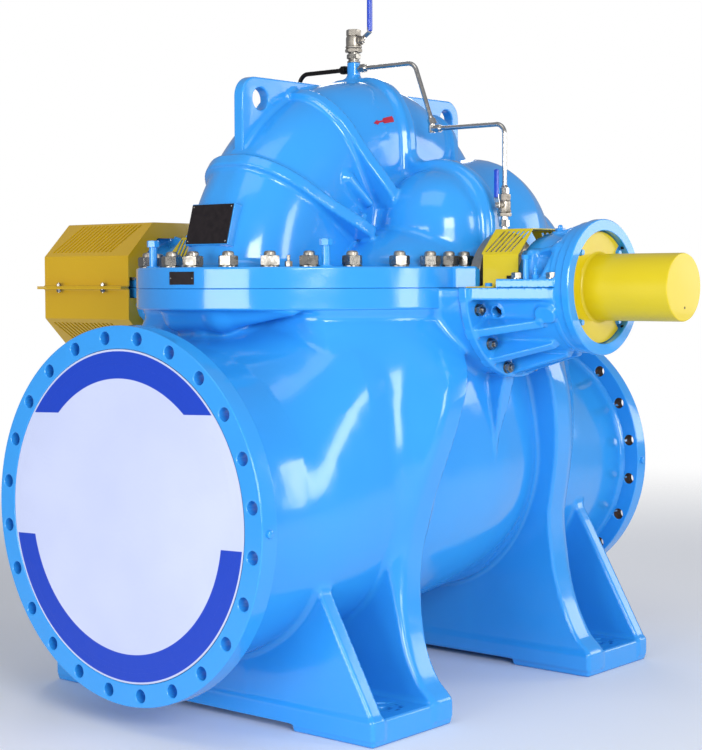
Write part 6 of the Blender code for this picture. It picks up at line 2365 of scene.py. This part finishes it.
@dataclass
class NamePlate:
    """Blank name plate on the hump, with its pad and its corner rivets."""

    volute: Volute
    angle: float = 164.5
    x: float = 0.005
    half_length: float = 0.070
    half_height: float = 0.050
    thickness: float = 0.002
    pad_height: float = 0.005
    margin: float = 0.0025
    rivet_inset: float = 0.006
    rivet: tuple[tuple[float, float], ...] = ((0, 0), (0.0026, 0), (0.0022, 0.0011),
                                              (0.0012, 0.0017), (0, 0.0019))

    @property
    def place(self) -> Matrix:
        """Placing with X along the shaft and Z away from it."""
        out = Vector((0, *around(1.0, self.angle)))
        along = Vector((1, 0, 0))
        place = Matrix((along, out.cross(along), out)).transposed().to_4x4()
        reach = self.volute.radius(self.angle) + self.pad_height
        place.translation = Vector((self.x, 0, SHAFT_HEIGHT)) + out * reach
        return place

    def build(self) -> dict[str, list[bpy.types.Object]]:
        """Pad, plate and rivets."""
        pad, plate, rivets = [bmesh.new() for _ in range(3)]
        wide = self.half_length + self.margin
        tall = self.half_height + self.margin
        add_block(pad, (-wide, -tall, -0.05), (wide, tall, 0.0), 0.0015, self.place)
        add_block(plate, (-self.half_length, -self.half_height, 0.0003),
                  (self.half_length, self.half_height, 0.0003 + self.thickness), 0.0004, self.place)
        for across in (-1, 1):
            for up in (-1, 1):
                spot = (across * (self.half_length - self.rivet_inset),
                        up * (self.half_height - self.rivet_inset), self.thickness)
                add_turned(rivets, self.rivet, self.place @ Matrix.Translation(spot), 14)
        return {"pad": [finished("name_plate_pad", pad, Coat.BLUE, 50)],
                "plate": [finished("blank_name_plate", plate, Coat.PLATE, 50),
                          finished("name_plate_rivets", rivets, Coat.ZINC)]}


@dataclass
class EdgePlate:
    """Small blank plate on the front edge of the split flange, held by two rivets."""

    place: tuple[float, float, float] = (0.019, -0.6778, 1.0675)
    turned: float = 0.060
    half_length: float = 0.0385
    half_height: float = 0.0155
    thickness: float = 0.0022
    rivet_inset: float = 0.004
    rivet: tuple[tuple[float, float], ...] = ((0, -0.001), (0.0024, -0.001), (0.0020, 0.0010),
                                              (0.0011, 0.0015), (0, 0.0017))

    def build(self) -> list[bpy.types.Object]:
        """Plate and rivets."""
        place = Matrix.Translation(self.place) @ Matrix.Rotation(self.turned, 4, "Z")
        form, rivets = [bmesh.new() for _ in range(2)]
        add_block(form, (-self.half_length, -self.thickness, -self.half_height),
                  (self.half_length, 0.004, self.half_height), 0.0006, place)
        for across in (-1, 1):
            spot = (across * (self.half_length - self.rivet_inset), -self.thickness, 0.0)
            add_turned(rivets, self.rivet, place @ axis_place(spot, (0, -1, 0)), 14)
        return [finished("blank_edge_plate", form, Coat.PLATE, 50),
                finished("edge_plate_rivets", rivets, Coat.ZINC)]


@dataclass
class RotationArrow:
    """Cast arrow on the hump's flank for the way the shaft turns, picked out in red."""

    casing: UpperCasing
    middle: tuple[float, float, float] = (0.168, -0.090, 1.473)
    height: float = 0.0022
    # Half outline as (distance from the tip, half width)
    half: tuple[tuple[float, float], ...] = ((0.014, 0.0065), (0.019, 0.0025), (0.036, 0.0025),
                                             (0.042, 0.0075), (0.079, 0.0085), (0.081, 0.0))
    cuts: int = 12

    def build(self) -> bpy.types.Object:
        """Arrow laid on the casting."""
        outline = [(0.0, 0.0), *self.half, *[(along, -up) for along, up in self.half[-2::-1]]]
        length = self.half[-1][0]
        form = outline_form([outline], 0.0, Matrix())
        for cut in range(1, self.cuts):
            bmesh.ops.bisect_plane(form, geom=form.verts[:] + form.edges[:] + form.faces[:],
                                   plane_co=(length * cut / self.cuts, 0, 0), plane_no=(1, 0, 0),
                                   dist=0.000001)
        _, y, z = self.middle
        out = Vector((0, y, z - SHAFT_HEIGHT)).normalized()
        along = Vector((1, 0, 0)).cross(out)
        for vert in form.verts:
            vert.co = Vector(self.middle) + along * (length / 2 - vert.co.x) + out * vert.co.y
        points = np.array([vert.co for vert in form.verts])
        for _ in range(4):
            slope = gradient_of(self.casing.distance, points)
            size = np.maximum((slope ** 2).sum(axis=1), 0.05)
            points -= (self.casing.distance(*points.T) / size)[:, None] * slope
        for vert, point in zip(form.verts, points):
            vert.co = point
        bmesh.ops.recalc_face_normals(form, faces=form.faces)
        form.normal_update()
        if sum(face.normal.x for face in form.faces) < 0:
            bmesh.ops.reverse_faces(form, faces=form.faces[:])
            form.normal_update()
        raised = bmesh.ops.extrude_face_region(form, geom=form.faces[:])["geom"]
        lifted = [item for item in raised if isinstance(item, bmesh.types.BMVert)]
        for vert in lifted:
            vert.co += vert.normal * self.height
        return finished("rotation_arrow", form, Coat.RED, 30)


# Studio


@dataclass
class Studio:
    """Pale floor, soft lights and the camera."""

    camera_place: tuple[float, float, float] = (2.9763, -3.5628, 1.0615)
    yaw: float = 40.098
    pitch: float = -3.166
    roll: float = -0.211
    focal_px: float = 1715.63
    image: tuple[int, int] = (702, 750)
    sensor: float = 36.0
    floor_radius: float = 7.0

    def camera(self) -> None:
        """Camera at the photograph's place."""
        data = bpy.data.cameras.new("camera")
        data.sensor_fit = "AUTO"
        data.sensor_width = self.sensor
        width, height = self.image
        data.lens = self.focal_px * self.sensor / max(width, height)
        data.clip_end = 100.0
        item = linked("camera", data)
        yaw = math.radians(self.yaw)
        pitch = math.radians(self.pitch)
        ahead = Vector((-math.sin(yaw) * math.cos(pitch), math.cos(yaw) * math.cos(pitch),
                        math.sin(pitch)))
        right = ahead.cross(Vector((0, 0, 1))).normalized()
        up = right.cross(ahead)
        roll = math.radians(self.roll)
        turned_right = right * math.cos(roll) + up * math.sin(roll)
        turned_up = up * math.cos(roll) - right * math.sin(roll)
        place = Matrix((turned_right, turned_up, -ahead)).transposed().to_4x4()
        place.translation = Vector(self.camera_place) + Vector((MIDDLE_X, 0, 0))
        item.matrix_world = place
        bpy.context.scene.camera = item

    def light(self, name: str, place: Point, target: Point, size: Point,
              power: float) -> None:
        """Soft rectangular light.

        Args:
            name: Name of the light.
            place: Where it stands.
            target: Where it points.
            size: Its width and height.
            power: Its strength in watts.
        """
        data = bpy.data.lights.new(name, "AREA")
        data.shape = "RECTANGLE"
        data.size, data.size_y = size
        data.energy = power
        item = linked(name, data)
        item.location = place
        aim = (Vector(target) - Vector(place)).to_track_quat("-Z", "Y")
        item.rotation_euler = aim.to_euler()

    def surroundings(self) -> None:
        """White surroundings, dimmer as a light than as a background."""
        world = bpy.data.worlds.new("studio")
        bpy.context.scene.world = world
        world.use_nodes = True
        tree = world.node_tree
        tree.nodes.clear()
        seen = add_node(tree, "ShaderNodeBackground", {"Color": linear("#FFFFFF"), "Strength": 1.0})
        lit = add_node(tree, "ShaderNodeBackground", {"Color": linear("#EEF3FF"), "Strength": 0.37})
        path = add_node(tree, "ShaderNodeLightPath")
        mix = add_node(tree, "ShaderNodeMixShader", None,
                       {0: path.outputs["Is Camera Ray"], 1: lit.outputs[0], 2: seen.outputs[0]})
        add_node(tree, "ShaderNodeOutputWorld", None, {"Surface": mix.outputs[0]})

    def floor(self) -> None:
        """Floor that fades out round the pump."""
        form = bmesh.new()
        bmesh.ops.create_circle(form, cap_ends=True, segments=96, radius=self.floor_radius)
        mesh = bpy.data.meshes.new("studio_floor")
        form.to_mesh(mesh)
        form.free()
        item = linked("studio_floor", mesh)
        Coat.FLOOR.dress(item)

    def build(self) -> None:
        """Everything round the pump."""
        self.camera()
        self.surroundings()
        self.floor()
        middle = (MIDDLE_X, 0.0, 0.8)
        for name, place, target, size, power in (
                ("key_softbox", (4.7, -3.0, 2.2), middle, (1.9, 1.9), 160.0),
                ("front_fill", (0.4, -5.6, 0.9), (0.0, 0.0, 0.6), (3.4, 1.6), 118.0),
                ("overhead_softbox", (0.9, -2.0, 4.6), middle, (2.6, 2.0), 24.0),
                ("right_strip", (4.8, 0.8, 1.6), middle, (0.7, 2.4), 40.0),
                ("rear_strip", (-2.8, 3.6, 2.4), middle, (1.0, 2.4), 34.0),
                ("rear_right_fill", (3.2, 4.4, 1.8), middle, (2.0, 2.0), 45.0)):
            self.light(name, place, target, size, power)
        bpy.context.scene.view_settings.view_transform = "Standard"


@dataclass
class Pump:
    """The whole pump, built sub-assembly by sub-assembly."""

    flange: SplitFlange = field(default_factory=SplitFlange)
    nipple: Bolt = Bolt(0.033, 1.654, 1.667, [
        (0, 1.6443), (0.0175, 1.6443), (0.0175, 1.648), (0.0145, 1.649), (0.0145, 1.6707),
        (0, 1.6707)], seat_sides=32)
    vent_x: float = -0.010

    def build(self) -> None:
        """Builds every sub-assembly."""
        halves = self.flange.build()
        upper = UpperCasing(self.flange)
        pieces = upper.build()
        lower = LowerCasing(self.flange).build()
        plate = NamePlate(upper.volute).build()
        attach(pieces + halves["upper"] + plate["pad"], "root", "blue_enamel", "upper_casing")
        attach(lower + halves["lower"], "root", "blue_enamel", "lower_casing")
        attach(plate["plate"], "root", "dark_plate", "name_plate")
        attach(EdgePlate().build(), "root", "dark_plate")
        attach([RotationArrow(upper).build()], "root", "blue_enamel")
        PortFlange("suction", -1, 0.4475, 0.420, 24, 0.511, 0.050, 0.392, False).build()
        PortFlange("discharge", 1, 0.390, 0.3625, 20, 0.531, 0.045, 0.335, True).build()
        for tag, side in SIDES.items():
            self.build_end(tag, side)
        self.build_left_guard()
        attach(TubeGuard().build(), "root", "yellow_enamel", "shaft_end_guard")
        self.build_vent()

    def build_end(self, tag: str, side: int) -> None:
        """Builds one end of the pump.

        Args:
            tag: "right" or "left".
            side: 1 for the right end, -1 for the left end.
        """
        housing = BearingHousing(tag, side)
        castings = housing.castings()
        fasteners = housing.fasteners()
        for part in ("bracket", "cap"):
            attach([castings[part], *fasteners[part]], "root", "blue_enamel",
                   f"bearing_{part}_{tag}")
        attach(housing.ring(), "root", "blue_enamel", f"bearing_cover_{tag}")
        attach(housing.seal(), "root", "bright_steel", f"seal_gland_{tag}")
        attach(housing.shaft(), "root", "bright_steel", f"shaft_{tag}")
        guard = GlandGuard(tag, side)
        if side < 0:
            guard = GlandGuard(tag, side, end_x=0.592, slots=Slots(4))
        attach(guard.build(), "root", "yellow_enamel", f"gland_guard_{tag}")
        line = FlushLine(tag, side)
        for node, piece in line.build().items():
            attach([piece], "root", "bright_steel", f"{node}_{tag}")
        valve = BallValve(f"flush_valve_{tag}", (side * line.line_x, 0.0), line.valve_bottom,
                          line.valve_top, 0.016, (0, -1, 0), 0.088, 0.004)
        attach([valve.body()], "root", "bright_steel", f"flush_valve_{tag}")
        attach(valve.lever(), f"flush_lever_{tag}", "lever_vinyl", f"flush_valve_{tag}_lever")

    def build_left_guard(self) -> None:
        """Builds the eight-sided guard and the shaft end inside it."""
        guard = EndGuard()
        upper = guard.shell("guard_shell_upper", 1)
        lower = guard.shell("guard_shell_lower", -1)
        end_plate, mounting_plate = guard.plates()
        for node, pieces in (("upper", [upper, guard.bolts()]), ("lower", [lower]),
                             ("end_plate", [end_plate]), ("mounting_plate", [mounting_plate])):
            attach(pieces, "root", "yellow_enamel", f"end_guard_{node}")
        form = bmesh.new()
        add_turned(form, stud(0.045, 0.0, 0.155, 0.043, 0.157),
                   axis_place((-0.7715, 0, SHAFT_HEIGHT), (-1, 0, 0)))
        shaft = finished("driven_shaft_end", form, Coat.STAINLESS)
        attach([shaft], "root", "bright_steel", "shaft_end_left")

    def build_vent(self) -> None:
        """Builds the vent valve on its nipple."""
        form = bmesh.new()
        self.nipple.add(form, Matrix.Translation((self.vent_x, 0, 0)))
        nipple = finished("vent_nipple_piece", form, Coat.ZINC, 30)
        attach([nipple], "root", "bright_steel", "vent_nipple")
        valve = BallValve("vent_valve", (self.vent_x, 0.0), 1.671, 1.732, 0.021, (1, 0, 0), 0.1055,
                          0.020)
        attach([valve.body()], "root", "bright_steel", "vent_valve")
        attach(valve.lever(), "vent_lever", "lever_vinyl", "vent_valve_lever")


def main() -> None:
    """Builds the studio and the pump."""
    logging.basicConfig(level=logging.INFO, format="%(message)s")
    Studio().build()
    Pump().build()


if __name__ == "__main__":
    main()
